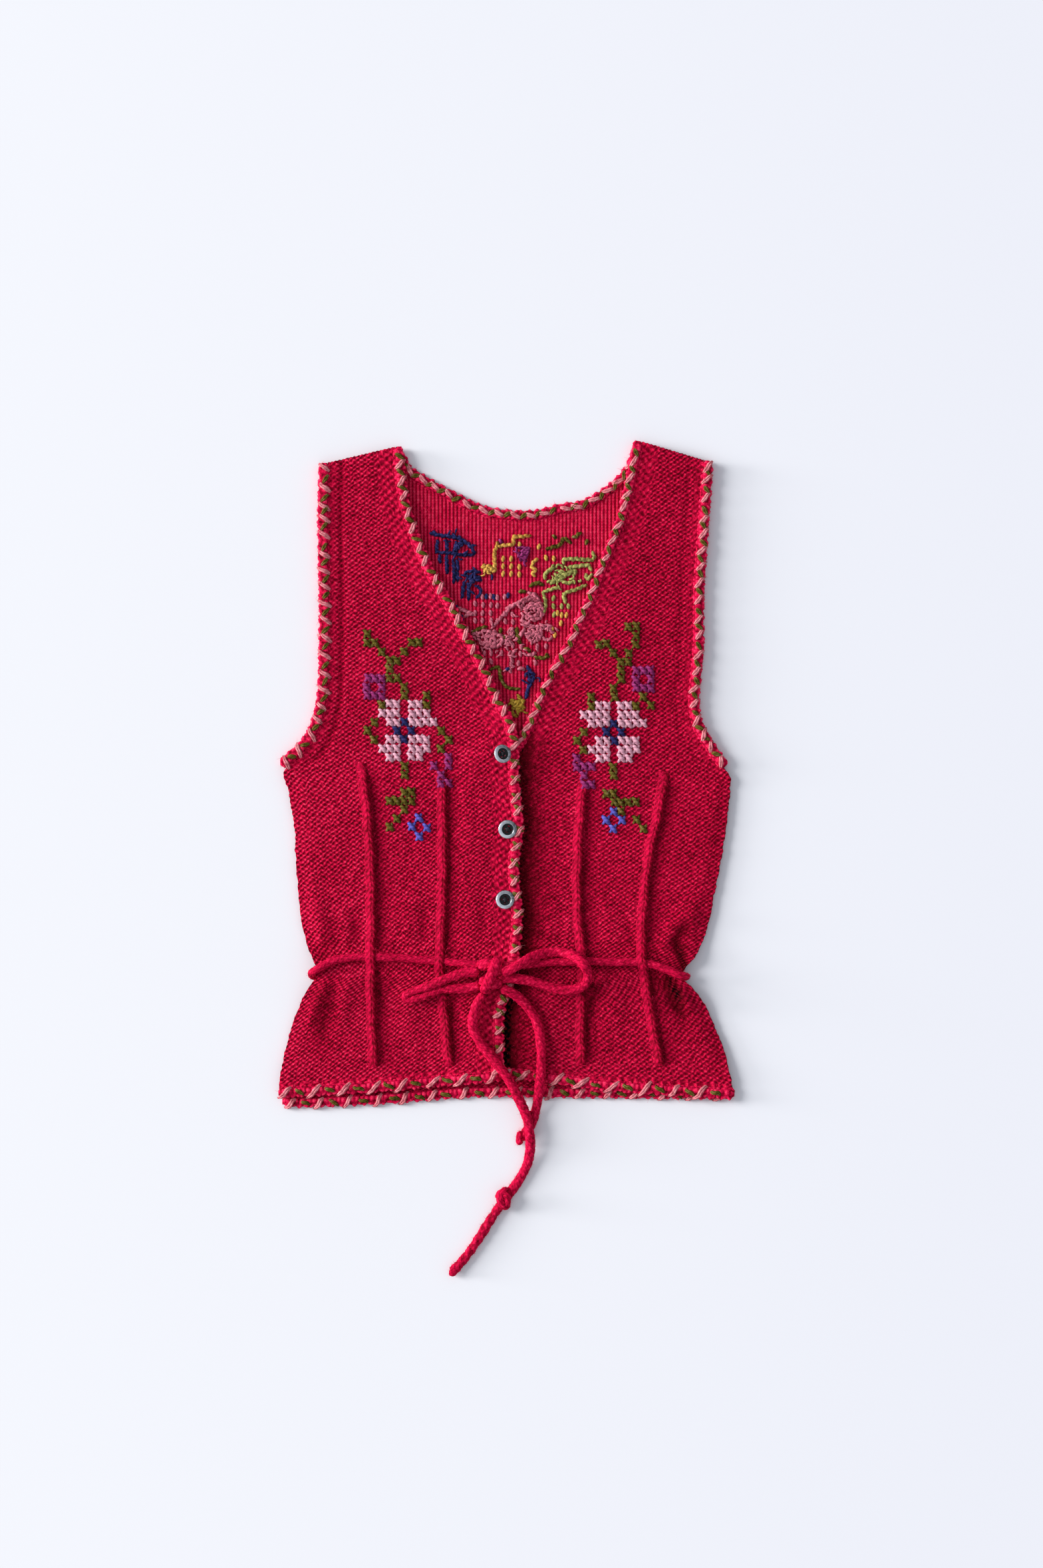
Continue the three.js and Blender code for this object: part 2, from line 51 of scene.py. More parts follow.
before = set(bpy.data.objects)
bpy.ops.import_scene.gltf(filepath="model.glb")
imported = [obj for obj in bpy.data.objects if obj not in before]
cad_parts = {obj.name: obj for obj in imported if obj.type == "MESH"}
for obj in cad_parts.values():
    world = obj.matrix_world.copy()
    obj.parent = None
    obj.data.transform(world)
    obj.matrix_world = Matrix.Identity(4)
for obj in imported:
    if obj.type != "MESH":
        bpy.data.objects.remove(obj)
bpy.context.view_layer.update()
print("frame:", len(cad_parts), "solids")

# %% [markdown]
# ## Camera
# A garment laid out on a table is looked at from straight above. A long lens keeps the near and far
# layers at one scale, and the view is a little wider than the vest on every side.

# %% Camera
VIEW_CENTRE = (12, -7)
VIEW_TALL = 1249  # height of the view, measured at VIEW_LEVEL over the table
VIEW_LEVEL = 8
SENSOR = 36
LENS = 75

camera_data = bpy.data.cameras.new("camera")
camera_data.sensor_fit = "VERTICAL"
camera_data.sensor_height = SENSOR
camera_data.lens = LENS
camera_data.clip_end = 20
camera = bpy.data.objects.new("camera", camera_data)
camera.location = (VIEW_CENTRE[0] * MM, VIEW_CENTRE[1] * MM, VIEW_TALL * MM * LENS / SENSOR + VIEW_LEVEL * MM)
bpy.context.scene.collection.objects.link(camera)
bpy.context.scene.camera = camera
print("camera height", round(camera.location.z, 3), "m")

# %% [markdown]
# ## Tables and curves
# The vest's outline, folds and the line of its tie are short tables. One function reads a smooth
# value out of any of them, for a single place or for a whole array of places at once.


# %% Reading a table
def read(table, at):
    """The second column at a value of the first, on a smooth curve through the rows."""
    rows = np.asarray(table, float)
    key, value = rows[:, 0], rows[:, 1]
    at = np.asarray(at, float)
    slope = np.gradient(value, key, edge_order=1)
    slope[1:-1] = (value[2:] - value[:-2]) / (key[2:] - key[:-2])
    i = np.clip(np.searchsorted(key, at, side="right") - 1, 0, len(key) - 2)
    span = key[i + 1] - key[i]
    t = np.clip((at - key[i]) / span, 0, 1)
    rise = value[i + 1] - value[i]
    start, end = slope[i] * span, slope[i + 1] * span
    return value[i] + t * (start + t * (3 * rise - 2 * start - end + t * (start + end - 2 * rise)))


def smooth(t):
    t = np.clip(t, 0, 1)
    return t * t * (3 - 2 * t)


def lerp(a, b, t):
    return a + (b - a) * t


print("a table read between its rows:", float(read([(0, 0), (10, 4), (20, 4)], 5)))

# %% Sizes of the layers
CLOTH = 2.4
GAP = 0.3
LOFT = 1.5
EDGE_WIDTH = 8
EDGE_THICK = 3.4
CORD = 5.8
BACK_INSET = 2
WAIST_Y = -160
TUCK, TUCK_FLAT, TUCK_SLOPE = 4.7, 7, 27
LAP_LIFT = 4.4
UNDERLAP_LOFT = 0.5
print("cloth", CLOTH, "mm, cord", CORD, "mm")

# %% Outlines of the vest
LEFT_SIDE = [  # y, x of the left side seam and armhole edge
    (-262, -182), (-240, -180.5), (-220, -176.5), (-200, -171), (-185, -165.5), (-172, -159.5),
    (-166, -155), (-160, -151.5), (-154, -151.5), (-148, -153.5), (-138, -158), (-119, -163),
    (-94, -166), (-69, -168), (-40, -169.5), (-10, -174.5), (0, -178), (9, -174), (20, -162),
    (34, -152), (54, -145.5), (80, -143), (110, -142.5), (140, -142.5), (167, -143),
    (204, -143.5), (252, -142.5)]
RIGHT_SIDE = [  # y, x of the right side seam and armhole edge
    (-262, 184), (-240, 178.5), (-220, 174), (-200, 166), (-185, 159.5), (-172, 150.5),
    (-166, 144.5), (-160, 139.5), (-154, 142), (-148, 147.5), (-138, 154), (-119, 161), (-94, 166),
    (-69, 171), (-40, 175.5), (-10, 178.5), (0, 178), (10, 168.5), (24, 158.5), (38, 150.5),
    (56, 147), (81, 148.5), (105, 150.5), (130, 150.5), (155, 151), (180, 153), (204, 154.5),
    (229, 156.5), (252, 157.5)]
OVER_CENTRE = [  # y, x of the lapping front's opening and V-neck edge
    (-250, -14), (-240, -12), (-225, -9), (-205, -9), (-190, -8.5), (-175, -5), (-160, 0),
    (-143, 3.5), (-113, 6), (-89, 4), (-69, 3), (-56, 5), (-41, 7), (-30, 6), (-4, 3.5), (22, 3),
    (32, 2), (45, -2), (60, -11), (87, -22.5), (113, -37), (135, -48), (155, -60), (171, -68),
    (199, -79), (229, -86), (264, -89)]
UNDER_CENTRE = [  # y, x of the lower front's opening and V-neck edge
    (-242, -5), (-60, -5), (-16, -4.5), (-2, -2), (12, 5), (28, 15), (46, 24.5), (69, 34),
    (85, 42), (103, 53), (122, 61), (141, 70), (163, 78.5), (180, 85), (203, 94), (232, 101),
    (267, 108)]
OVER_HEM = [(-190, -251), (-110, -246), (-45, -240.5), (0, -236.5)]  # x, y
UNDER_HEM = [(-10, -233.5), (41, -239.5), (73, -244), (126, -248), (186, -252)]
BACK_HEM = [(-186, -258), (-150, -258), (-86, -254.5), (-25, -250), (52, -250.5), (186, -252)]
OVER_SHOULDER = [(-143, 249), (-88, 262)]
UNDER_SHOULDER = [(108, 266), (158, 251)]
BACK_TOP = [
    (-143, 248), (-90, 257), (-82, 243), (-66, 232), (-46, 221), (-22, 209.5), (1, 205), (24, 205),
    (44, 210), (62, 213), (80, 223), (96, 237), (104, 250), (109, 262), (158, 250)]
NECK_FROM, NECK_TO = -90, 109
TIE_LINE = [
    (-160, -158), (-147, -148), (-110, -144.5), (-52, -148), (-5, -151), (65, -148), (108, -149),
    (129, -154), (150, -160)]
print("chest", float(read(RIGHT_SIDE, 0) - read(LEFT_SIDE, 0)), "mm between the sides")

# %% Folds of the fronts
FOLDS = [  # x, y of one end; x, y of the other; width; height of the ridge
    (128, -128, 150, -110, 9, 3.6), (120, -140, 104, -112, 7, 1.8), (131, -166, 146, -184, 8, 4.2),
    (118, -168, 128, -200, 7, 2.0), (88, -162, 84, -196, 9, 1.6), (-146, -132, -150, -104, 9, 2.6),
    (-128, -134, -130, -108, 8, 1.6), (-144, -168, -156, -192, 9, 2.8),
    (-126, -166, -132, -196, 8, 1.8), (-80, -134, -78, -98, 10, 1.4),
    (-78, -164, -76, -204, 10, 1.6), (-26, -168, -28, -206, 9, 1.3), (30, -132, 32, -98, 10, 1.4),
    (33, -168, 36, -206, 10, 1.6), (82, -132, 84, -102, 9, 1.2)]
print("folds:", len(FOLDS))


# %% Heights of the layers, as in the solids
def tuck(y):
    return TUCK * (1 - smooth((np.abs(y - WAIST_Y) - TUCK_FLAT) / TUCK_SLOPE))


def clear_of_tie(x, y):
    return smooth((np.abs(y - read(TIE_LINE, x)) - 4) / 14)


def ridges(table, x, y):
    """Soft ridges, each from one end to the other, fading past both."""
    height = np.zeros(np.broadcast(x, y).shape)
    for x0, y0, x1, y1, width, rise in table:
        run_x, run_y = x1 - x0, y1 - y0
        reach = math.hypot(run_x, run_y)
        t = ((x - x0) * run_x + (y - y0) * run_y) / reach**2
        across = (run_x * (y - y0) - run_y * (x - x0)) / reach
        ends = smooth((t + 0.35) / 0.5) * smooth((1.5 - t) / 0.8)
        height += rise * ends * np.exp(-((across / width) ** 2))
    return height


def side_loft(x, y, side):
    settled = smooth(np.abs(x - side) / 14)
    return np.maximum(settled, np.maximum(smooth((-222 - y) / 14), smooth((y + 14) / 14)))


def over_bottom(x, y):
    lap_edge = read(UNDER_CENTRE, y) - EDGE_WIDTH
    lapped = smooth((x - lap_edge + 42) / 27) * (1 - smooth((y - 46) / 40))
    loose = (LOFT + ridges(FOLDS, x, y)) * clear_of_tie(x, y) * side_loft(x, y, read(LEFT_SIDE, y))
    return CLOTH + GAP + tuck(y) + np.maximum(lerp(loose, LAP_LIFT, lapped), loose)


def under_bottom(x, y):
    lapped = (1 - smooth((x - read(UNDER_CENTRE, y) - 20) / 26)) * (1 - smooth((y - 46) / 40))
    loose = (LOFT + ridges(FOLDS, x, y)) * clear_of_tie(x, y) * side_loft(x, y, read(RIGHT_SIDE, y))
    return CLOTH + GAP + tuck(y) + lerp(loose, UNDERLAP_LOFT, lapped)


def back_bottom(x, y):
    return tuck(y) + 0 * x


print("lap lift over the tuck:", LAP_LIFT, "mm, tuck", float(tuck(WAIST_Y)), "mm")

# %% [markdown]
# ## Making a mesh from points
# Knitting, cord and sewn strands are thousands of points that follow a formula, so their
# meshes are built as arrays. One helper joins such arrays into an object, with named values on the
# points, which the materials read: where a point lies in the fabric, and how deep in the yarn, which
# also holds painted shade.


# %% Mesh helper
def make_object(name, points, faces, values=None, slots=None, face_slot=None):
    """An object at the origin from points in millimetres and faces of 3 or 4 corners."""
    mesh = bpy.data.meshes.new(name)
    mesh.from_pydata((np.asarray(points) * MM).tolist(), [], faces)
    for key, array in (values or {}).items():
        array = np.asarray(array, float)
        kind = "FLOAT" if array.ndim == 1 else "FLOAT_VECTOR"
        layer = mesh.attributes.new(key, kind, "POINT")
        layer.data.foreach_set("value" if kind == "FLOAT" else "vector", array.ravel())
    for material in slots or []:
        mesh.materials.append(material)
    if face_slot is not None:
        mesh.polygons.foreach_set("material_index", np.asarray(face_slot, np.int32))
    mesh.polygons.foreach_set("use_smooth", np.ones(len(mesh.polygons), bool))
    mesh.update()
    piece = bpy.data.objects.new(name, mesh)
    bpy.context.scene.collection.objects.link(piece)
    return piece


def triangles(piece):
    return sum(len(face.vertices) - 2 for face in piece.data.polygons)


print("meshes before the first piece:", len(bpy.data.meshes))


# %% Many shapes in one mesh
class Heap:
    """Collects separate closed shapes into one mesh."""

    def __init__(self):
        self.points, self.faces, self.values, self.slot, self.count = [], [], {}, [], 0

    def add(self, points, faces, values, slot=0):
        self.points.append(points)
        self.faces.append(np.asarray(faces) + self.count)
        for key, array in values.items():
            self.values.setdefault(key, []).append(array)
        self.slot.append(np.full(len(faces), slot))
        self.count += len(points)

    def build(self, name, slots):
        faces = [face for block in self.faces for face in block.tolist()]
        values = {key: np.concatenate(blocks) for key, blocks in self.values.items()}
        return make_object(name, np.concatenate(self.points), faces, values, slots, np.concatenate(self.slot))


print("an empty heap holds", Heap().count, "points")

# %% [markdown]
# ## Wool
# Wool is matt, and its colour is never even: dyed fibres differ. The valleys between stitches are
# painted darker than their crowns, as shade, and the highest tips a little paler, as a painted
# highlight. Every yarn here has the same fibre group and its own pair of colours.


# %% Helpers for nodes
def new_group(name, inputs, outputs):
    group = bpy.data.node_groups.new(name, "ShaderNodeTree")
    for label, kind, value in inputs:
        socket = group.interface.new_socket(label, in_out="INPUT", socket_type=kind)
        if value is not None:
            socket.default_value = value
    for label, kind in outputs:
        group.interface.new_socket(label, in_out="OUTPUT", socket_type=kind)
    return group


def node(tree, kind, **settings):
    made = tree.nodes.new(kind)
    for key, value in settings.items():
        if key.startswith("in_"):
            made.inputs[key[3:]].default_value = value
        else:
            setattr(made, key, value)
    return made


def math_node(tree, operation, a, b=None):
    made = tree.nodes.new("ShaderNodeMath")
    made.operation = operation
    for socket, value in zip(made.inputs, (a, b)):
        if value is None:
            continue
        if isinstance(value, (int, float)):
            socket.default_value = value
        else:
            tree.links.new(value, socket)
    return made.outputs[0]


print("node groups before the first:", len(bpy.data.node_groups))

# %% Fibre group, shared by every yarn
NOISES = {  # cells in a metre, detail, roughness; share in the unevenness of the colour
    "clumps of fibre": (330.0, 3.0, 0.6, 2.2),
    "single fibres": (1300.0, 3.0, 0.75, 2.2),
    "slow drift": (22.0, 2.0, 0.5, 0.6),
    "patches": (210.0, 1.0, 0.5, 0.9),
}
TIP_HIGHLIGHT = (0.10, 0.055, 0.075)  # painted highlight: what the highest tips have over the light colour
HIGHLIGHT_FROM, HIGHLIGHT_RISE = 0.78, 1.5
# painted shade: where crown_shade with the wool's unevenness falls below zero, the colour goes toward black
SHADE_RISE = -1.1

fibre_group = new_group(
    "wool_fibre",
    [("Light", "NodeSocketColor", (0.8, 0.8, 0.8, 1)), ("Deep", "NodeSocketColor", (0.2, 0.2, 0.2, 1)),
     ("Crown Shade", "NodeSocketFloat", 1.0), ("Heather", "NodeSocketFloat", 0.5)],
    [("Color", "NodeSocketColor"), ("Height", "NodeSocketFloat"), ("Roughness", "NodeSocketFloat")])
tree = fibre_group
group_in = node(tree, "NodeGroupInput")
group_out = node(tree, "NodeGroupOutput")
coords = node(tree, "ShaderNodeTexCoord")
noises = []
uneven = None
for scale, detail, roughness, weight in NOISES.values():
    noise = node(tree, "ShaderNodeTexNoise", in_Scale=scale, in_Detail=detail, in_Roughness=roughness)
    tree.links.new(coords.outputs["Object"], noise.inputs["Vector"])
    noises.append(noise.outputs["Fac"])
    off = math_node(tree, "MULTIPLY", math_node(tree, "SUBTRACT", noises[-1], 0.5), weight)
    uneven = off if uneven is None else math_node(tree, "ADD", uneven, off)
clumps, fibres = noises[:2]
uneven = math_node(tree, "MULTIPLY", uneven, group_in.outputs["Heather"])
print("noises in the wool:", ", ".join(NOISES))

# %% Colour of the fibres
# painted shade: where crown_shade is low, the colour goes toward the deep one
share = math_node(tree, "ADD", group_in.outputs["Crown Shade"], uneven)
mix = node(tree, "ShaderNodeMix", data_type="RGBA", clamp_factor=True)
tree.links.new(share, mix.inputs["Factor"])
tree.links.new(group_in.outputs["Deep"], mix.inputs["A"])
tree.links.new(group_in.outputs["Light"], mix.inputs["B"])
# painted highlight: the highest tips of the yarn turn paler
highlight_colour = node(tree, "ShaderNodeVectorMath", operation="ADD")
highlight_colour.inputs[1].default_value = TIP_HIGHLIGHT
tree.links.new(group_in.outputs["Light"], highlight_colour.inputs[0])
highlight_mix = node(tree, "ShaderNodeMix", data_type="RGBA", clamp_factor=True)
highlight_share = math_node(tree, "MULTIPLY", math_node(tree, "SUBTRACT", share, HIGHLIGHT_FROM), HIGHLIGHT_RISE)
tree.links.new(highlight_share, highlight_mix.inputs["Factor"])
tree.links.new(mix.outputs["Result"], highlight_mix.inputs["A"])
tree.links.new(highlight_colour.outputs["Vector"], highlight_mix.inputs["B"])
shade = node(tree, "ShaderNodeMix", data_type="RGBA", clamp_factor=True)
shade.inputs["B"].default_value = (0, 0, 0, 1)
tree.links.new(math_node(tree, "MULTIPLY", share, SHADE_RISE), shade.inputs["Factor"])
tree.links.new(highlight_mix.outputs["Result"], shade.inputs["A"])
tree.links.new(shade.outputs["Result"], group_out.inputs["Color"])
tree.links.new(math_node(tree, "ADD", fibres, clumps), group_out.inputs["Height"])
rough = math_node(tree, "ADD", math_node(tree, "MULTIPLY", fibres, 0.35), 0.45)
tree.links.new(rough, group_out.inputs["Roughness"])
print("fibre group:", len(tree.nodes), "nodes")


# %% Yarn materials
FIBRE_BUMP = 0.6
FIBRE_BUMP_DEPTH = 0.0007
WOOL_SPECULAR = 0.035


def yarn(name, light, deep, heather=0.45):
    """Wool of two colours; the points' own 'crown_shade' value says how high in the yarn they are, and
    carries painted shade.
    """
    material = bpy.data.materials.new(name)
    material.use_nodes = True
    tree = material.node_tree
    surface = tree.nodes["Principled BSDF"]
    fibre = node(tree, "ShaderNodeGroup", node_tree=fibre_group)
    fibre.inputs["Light"].default_value = (*light, 1)
    fibre.inputs["Deep"].default_value = (*deep, 1)
    fibre.inputs["Heather"].default_value = heather
    crown_shade = node(tree, "ShaderNodeAttribute", attribute_name="crown_shade")
    tree.links.new(crown_shade.outputs["Fac"], fibre.inputs["Crown Shade"])
    tree.links.new(fibre.outputs["Color"], surface.inputs["Base Color"])
    tree.links.new(fibre.outputs["Roughness"], surface.inputs["Roughness"])
    relief = node(tree, "ShaderNodeBump", in_Strength=FIBRE_BUMP, in_Distance=FIBRE_BUMP_DEPTH)
    tree.links.new(fibre.outputs["Height"], relief.inputs["Height"])
    tree.links.new(relief.outputs["Normal"], surface.inputs["Normal"])
    surface.inputs["Specular IOR Level"].default_value = WOOL_SPECULAR
    return material


CRIMSON_EDGE = yarn("crimson_edging", (0.84, 0.0042, 0.072), (0.12, 0.0001, 0.005), heather=0.8)
CRIMSON_CORD = yarn("crimson_cord", (0.84, 0.0044, 0.070), (0.15, 0.0001, 0.007), heather=0.6)
PINK = yarn("pink_wool", (0.76, 0.25, 0.28), (0.30, 0.03, 0.05), heather=0.8)
OLIVE = yarn("olive_wool", (0.145, 0.112, 0.014), (0.018, 0.016, 0.003), heather=0.8)
PALE_PINK = yarn("pale_pink_wool", (0.80, 0.42, 0.52), (0.28, 0.10, 0.15), heather=0.4)
ROSE = yarn("rose_wool", (0.66, 0.17, 0.24), (0.2, 0.03, 0.05), heather=0.4)
NAVY = yarn("navy_wool", (0.026, 0.03, 0.13), (0.004, 0.004, 0.02), heather=0.4)
PURPLE = yarn("purple_wool", (0.33, 0.035, 0.17), (0.06, 0.004, 0.03), heather=0.4)
BLUE = yarn("cornflower_wool", (0.12, 0.12, 0.52), (0.025, 0.02, 0.12), heather=0.4)
YELLOW = yarn("yellow_wool", (0.74, 0.42, 0.09), (0.25, 0.10, 0.02), heather=0.4)
LIME = yarn("lime_wool", (0.42, 0.42, 0.12), (0.12, 0.11, 0.03), heather=0.4)
MUSTARD = yarn("mustard_wool", (0.42, 0.27, 0.03), (0.12, 0.06, 0.01), heather=0.4)
print("yarns:", sum(m.name.endswith("wool") for m in bpy.data.materials))

# %% [markdown]
# ## The tie
# A cord's length is fixed, so its route comes first: listed points, in a smooth curve. It is a
# narrow knitted tube, with five columns of stitches round it, which is twisted on itself only at the
# long tail's end. It lies wider than it is tall, but less so round the waist, where it is pulled tight.

# %% Routes of the tie
TIE_ROUND = [  # from the knot round the left side, under the back, and up the right side to the knot
    (-17, -152.4, 17.4), (-22.4, -151.2, 17.4), (-31, -150, 17.1), (-40, -149, 15.8),
    (-52, -148, 13.2), (-64, -147, 12.8),
    (-80, -145.5, 12.5), (-96, -144.8, 12.3), (-110, -144.5, 12.3), (-124, -145, 12.4),
    (-136, -147, 12.8), (-144, -150.4, 13.6), (-149.8, -153.6, 13.6), (-154.2, -156.6, 11),
    (-155.4, -158.6, 7.2), (-153.8, -160, 4), (-149.8, -160, 2.4), (-140, -160, 2.3), (-76, -160, 2.3),
    (0, -160, 2.3), (70, -160, 2.3), (128, -160, 2.3), (137.6, -160, 2.4), (141.8, -160.2, 4),
    (143.6, -160.4, 7.2), (142.2, -160, 11), (137.2, -158.4, 13.6), (130, -155.4, 13.4),
    (120, -151.6, 13.4), (108, -149, 13.2), (94, -148.6, 13.1), (78, -148.2, 13.1), (62, -148, 13.1),
    (48, -148.4, 13.2), (32, -149, 13.6), (18, -150, 15.8), (6, -150.5, 18.2), (-3.6, -151, 17.8)]
LOOP_LEFT = [
    (-21.6, -156, 21), (-32, -156.4, 20.6), (-45, -160.4, 19.6), (-55, -164.6, 19.4), (-65, -168.4, 18),
    (-74, -171.4, 16.4), (-80.4, -174.6, 15), (-79.6, -178.4, 14), (-72, -177.4, 14.6),
    (-60, -172.8, 15.6), (-51, -169.6, 16.4), (-40, -169.4, 17.2), (-30, -169, 17.8), (-20.4, -166.6, 18.4)]
LOOP_RIGHT = [
    (-3.6, -157, 23.4), (6, -152.4, 24.4), (14, -147.6, 22.8), (23, -143.4, 17.6), (35, -140.8, 13.6),
    (47, -141.4, 14.8), (55.4, -144.6, 20), (61, -149.6, 23.6), (64.6, -157, 20.8), (62.6, -165.4, 17.8),
    (55, -170, 16.6), (44, -170.4, 15.8), (32, -167.4, 15.8), (20, -163.6, 17), (8, -161.4, 18.8),
    (-4.4, -161, 20)]
TAIL_LONG = [
    (-17.6, -173.4, 17.2), (-22.4, -180, 16.2), (-26, -190, 14.6), (-26.6, -201, 13.4), (-22, -211, 13.3),
    (-15.4, -220, 13.5), (-8, -229, 13.8), (-1, -238, 13.6), (5, -248, 12), (11, -260, 10.4),
    (16, -272, 9.7), (18.4, -284, 9.7), (19, -296, 7.4), (17, -309, 4), (10, -323, 3.1),
    (-1, -338, 3.1), (-11, -352, 3.1), (-21, -368, 3.1), (-33, -385, 3.1), (-44, -397, 3.1)]
TAIL_SHORT = [
    (-4.6, -169, 18.2), (2, -171.4, 18.6), (9, -176, 15.8), (16, -183.4, 12.8), (22, -192, 11.2),
    (26, -204, 10.5), (27.6, -217, 10.3), (27.6, -230, 10.3), (27, -240, 10.8), (26.2, -249, 10.2),
    (25, -258, 7.4), (23.4, -267, 4.4), (20, -278, 3.1), (11, -291, 3.1)]
COLUMNS_ROUND = 5   # columns of stitches round the cord
STITCH_LONG = 4.6   # length of one of its stitches
DRIFT_PITCH = 64    # the columns turn slowly round the cord
TWIST_FROM = -343   # y past which the long tail's end is twisted on itself
TWIST_PITCH = 19    # length of one turn of the twist
CORD_SIDES = 28
CORD_STEP = 0.95
print("points on the routes:", sum(map(len, (TIE_ROUND, LOOP_LEFT, LOOP_RIGHT, TAIL_LONG, TAIL_SHORT))))


# %% A smooth path and its frames
def smooth_path(points, step):
    """Points at even steps on a smooth curve through the given ones."""
    p = np.asarray(points, float)
    p = np.vstack([2 * p[0] - p[1], p, 2 * p[-1] - p[-2]])
    dense = []
    for a, b, c, d in zip(p, p[1:], p[2:], p[3:]):
        knots = np.cumsum([0] + [np.linalg.norm(q - r) ** 0.5 for q, r in ((b, a), (c, b), (d, c))])
        t = np.linspace(knots[1], knots[2], 24, endpoint=False)[:, None]
        t0, t1, t2, t3 = knots
        ab = ((t1 - t) * a + (t - t0) * b) / (t1 - t0)
        bc = ((t2 - t) * b + (t - t1) * c) / (t2 - t1)
        cd = ((t3 - t) * c + (t - t2) * d) / (t3 - t2)
        abc = ((t2 - t) * ab + (t - t0) * bc) / (t2 - t0)
        bcd = ((t3 - t) * bc + (t - t1) * cd) / (t3 - t1)
        dense.append(((t2 - t) * abc + (t - t1) * bcd) / (t2 - t1))
    dense = np.vstack(dense + [p[-2]])
    along = np.concatenate([[0], np.cumsum(np.linalg.norm(np.diff(dense, axis=0), axis=1))])
    at = np.linspace(0, along[-1], max(3, round(along[-1] / step) + 1))
    return np.column_stack([np.interp(at, along, dense[:, k]) for k in range(3)]), at


def frames_along(path):
    """Tangent, and two directions across it that turn as little as they can."""
    tangent = np.gradient(path, axis=0)
    tangent /= np.linalg.norm(tangent, axis=1)[:, None]
    up = np.zeros_like(path)
    guide = np.array([0, 0, 1.0])
    for k, t in enumerate(tangent):
        guide = guide - t * guide.dot(t)
        guide /= np.linalg.norm(guide)
        up[k] = guide
    return tangent, up, np.cross(tangent, up)


print("round the waist:", round(float(smooth_path(TIE_ROUND, CORD_STEP)[1][-1])), "mm")


# %% A knitted cord
def knitted_cord(path, at, radius, wide=1.0, tall=1.0, phase=0.0):
    """Points, faces and crown_shade values of a closed knitted tube, twisted past TWIST_FROM; the values
    paint shade between the stitches and in the twist's grooves.
    """
    tangent, up, side = frames_along(path)
    flat_side = np.cross(tangent, np.array([0, 0, 1.0]))
    level = np.linalg.norm(flat_side, axis=1)[:, None]
    flat_side = np.where(level > 0.3, flat_side / np.maximum(level, 0.3), side)
    side = flat_side / np.linalg.norm(flat_side, axis=1)[:, None]
    up = np.cross(side, tangent)
    theta = np.linspace(0, 2 * np.pi, CORD_SIDES, endpoint=False)
    slow = (at + 5 * np.sin(at / 17 + phase))[:, None]
    column = COLUMNS_ROUND * (theta[None, :] / (2 * np.pi) - slow / DRIFT_PITCH) + phase
    place = column - np.floor(column)
    legs = np.abs(np.sin(np.pi * column))
    lean = np.abs(place - 0.5)
    links = np.cos(2 * np.pi * (at[:, None] / STITCH_LONG + 0.5 * np.floor(column) - 1.5 * lean))
    twisted = smooth((TWIST_FROM - path[:, 1]) / 8)[:, None]
    lobe = np.abs(np.cos(theta[None, :] - 2 * np.pi * at[:, None] / TWIST_PITCH - phase))
    shape = 0.90 + 0.07 * legs**0.7 + 0.06 * links - 0.20 * twisted * (1 - lobe**0.8)
    ends = np.minimum(at, at[-1] - at)[:, None]
    shape = shape * np.clip((ends + 0.25) / 2.2, 0.12, 1) ** 0.5
    wide = radius * np.broadcast_to(wide, at.shape)[:, None] * (1 + 0.05 * np.sin(at / 6.1 + phase))[:, None]
    tall = radius * np.broadcast_to(tall, at.shape)[:, None]
    points = (path[:, None, :] + side[:, None, :] * (shape * wide * np.cos(theta))[:, :, None]
              + up[:, None, :] * (shape * tall * np.sin(theta))[:, :, None])
    rings = len(path)
    index = np.arange(rings * CORD_SIDES).reshape(rings, CORD_SIDES)
    after = np.roll(index, -1, axis=1)
    faces = np.stack([index[:-1], after[:-1], after[1:], index[1:]], axis=-1).reshape(-1, 4).tolist()
    faces += [index[0][::-1].tolist(), index[-1].tolist()]
    # painted shade: darker between the stitches and in the grooves of the twist
    crown_shade = (0.33 + 0.28 * legs + 0.24 * links) * (1 - 0.5 * twisted * (1 - lobe))
    return points.reshape(-1, 3), faces, np.clip(crown_shade, 0, 1).ravel()


print("stitches in 100 mm of the cord:", round(COLUMNS_ROUND * 100 / STITCH_LONG))

# %% The lengths of the tie
TURN_SLIMMER = 0.30            # the left bow is slimmer where it turns back
TURN_REACH = 24
UNDER_TOP, UNDER_FROM = 6.4, -200   # z and y of the part that the vest presses flat


def cord_piece(name, route, nodes, wide, tall, phase=0.0):
    path, at = smooth_path(route, CORD_STEP)
    turn = TURN_SLIMMER * np.exp(-(((at - at[-1] / 2) / TURN_REACH) ** 2)) * (name == "tie_bow_left")
    mean_wide, wide, tall = wide, wide - turn, tall - turn
    under = smooth((UNDER_TOP - path[:, 2]) / 3) * (path[:, 1] > UNDER_FROM)
    points, faces, crown_shade = knitted_cord(
        path, at, CORD / 2, wide + 0.1 * under, tall * (1 - 0.27 * under), phase)
    piece = make_object(name, points, faces, {"crown_shade": crown_shade}, [CRIMSON_CORD])
    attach(piece, "root")
    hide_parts(*nodes)
    print(name, f"{at[-1]:.0f} mm, {triangles(piece)} triangles")
    return piece, path, float(at[-1]), mean_wide


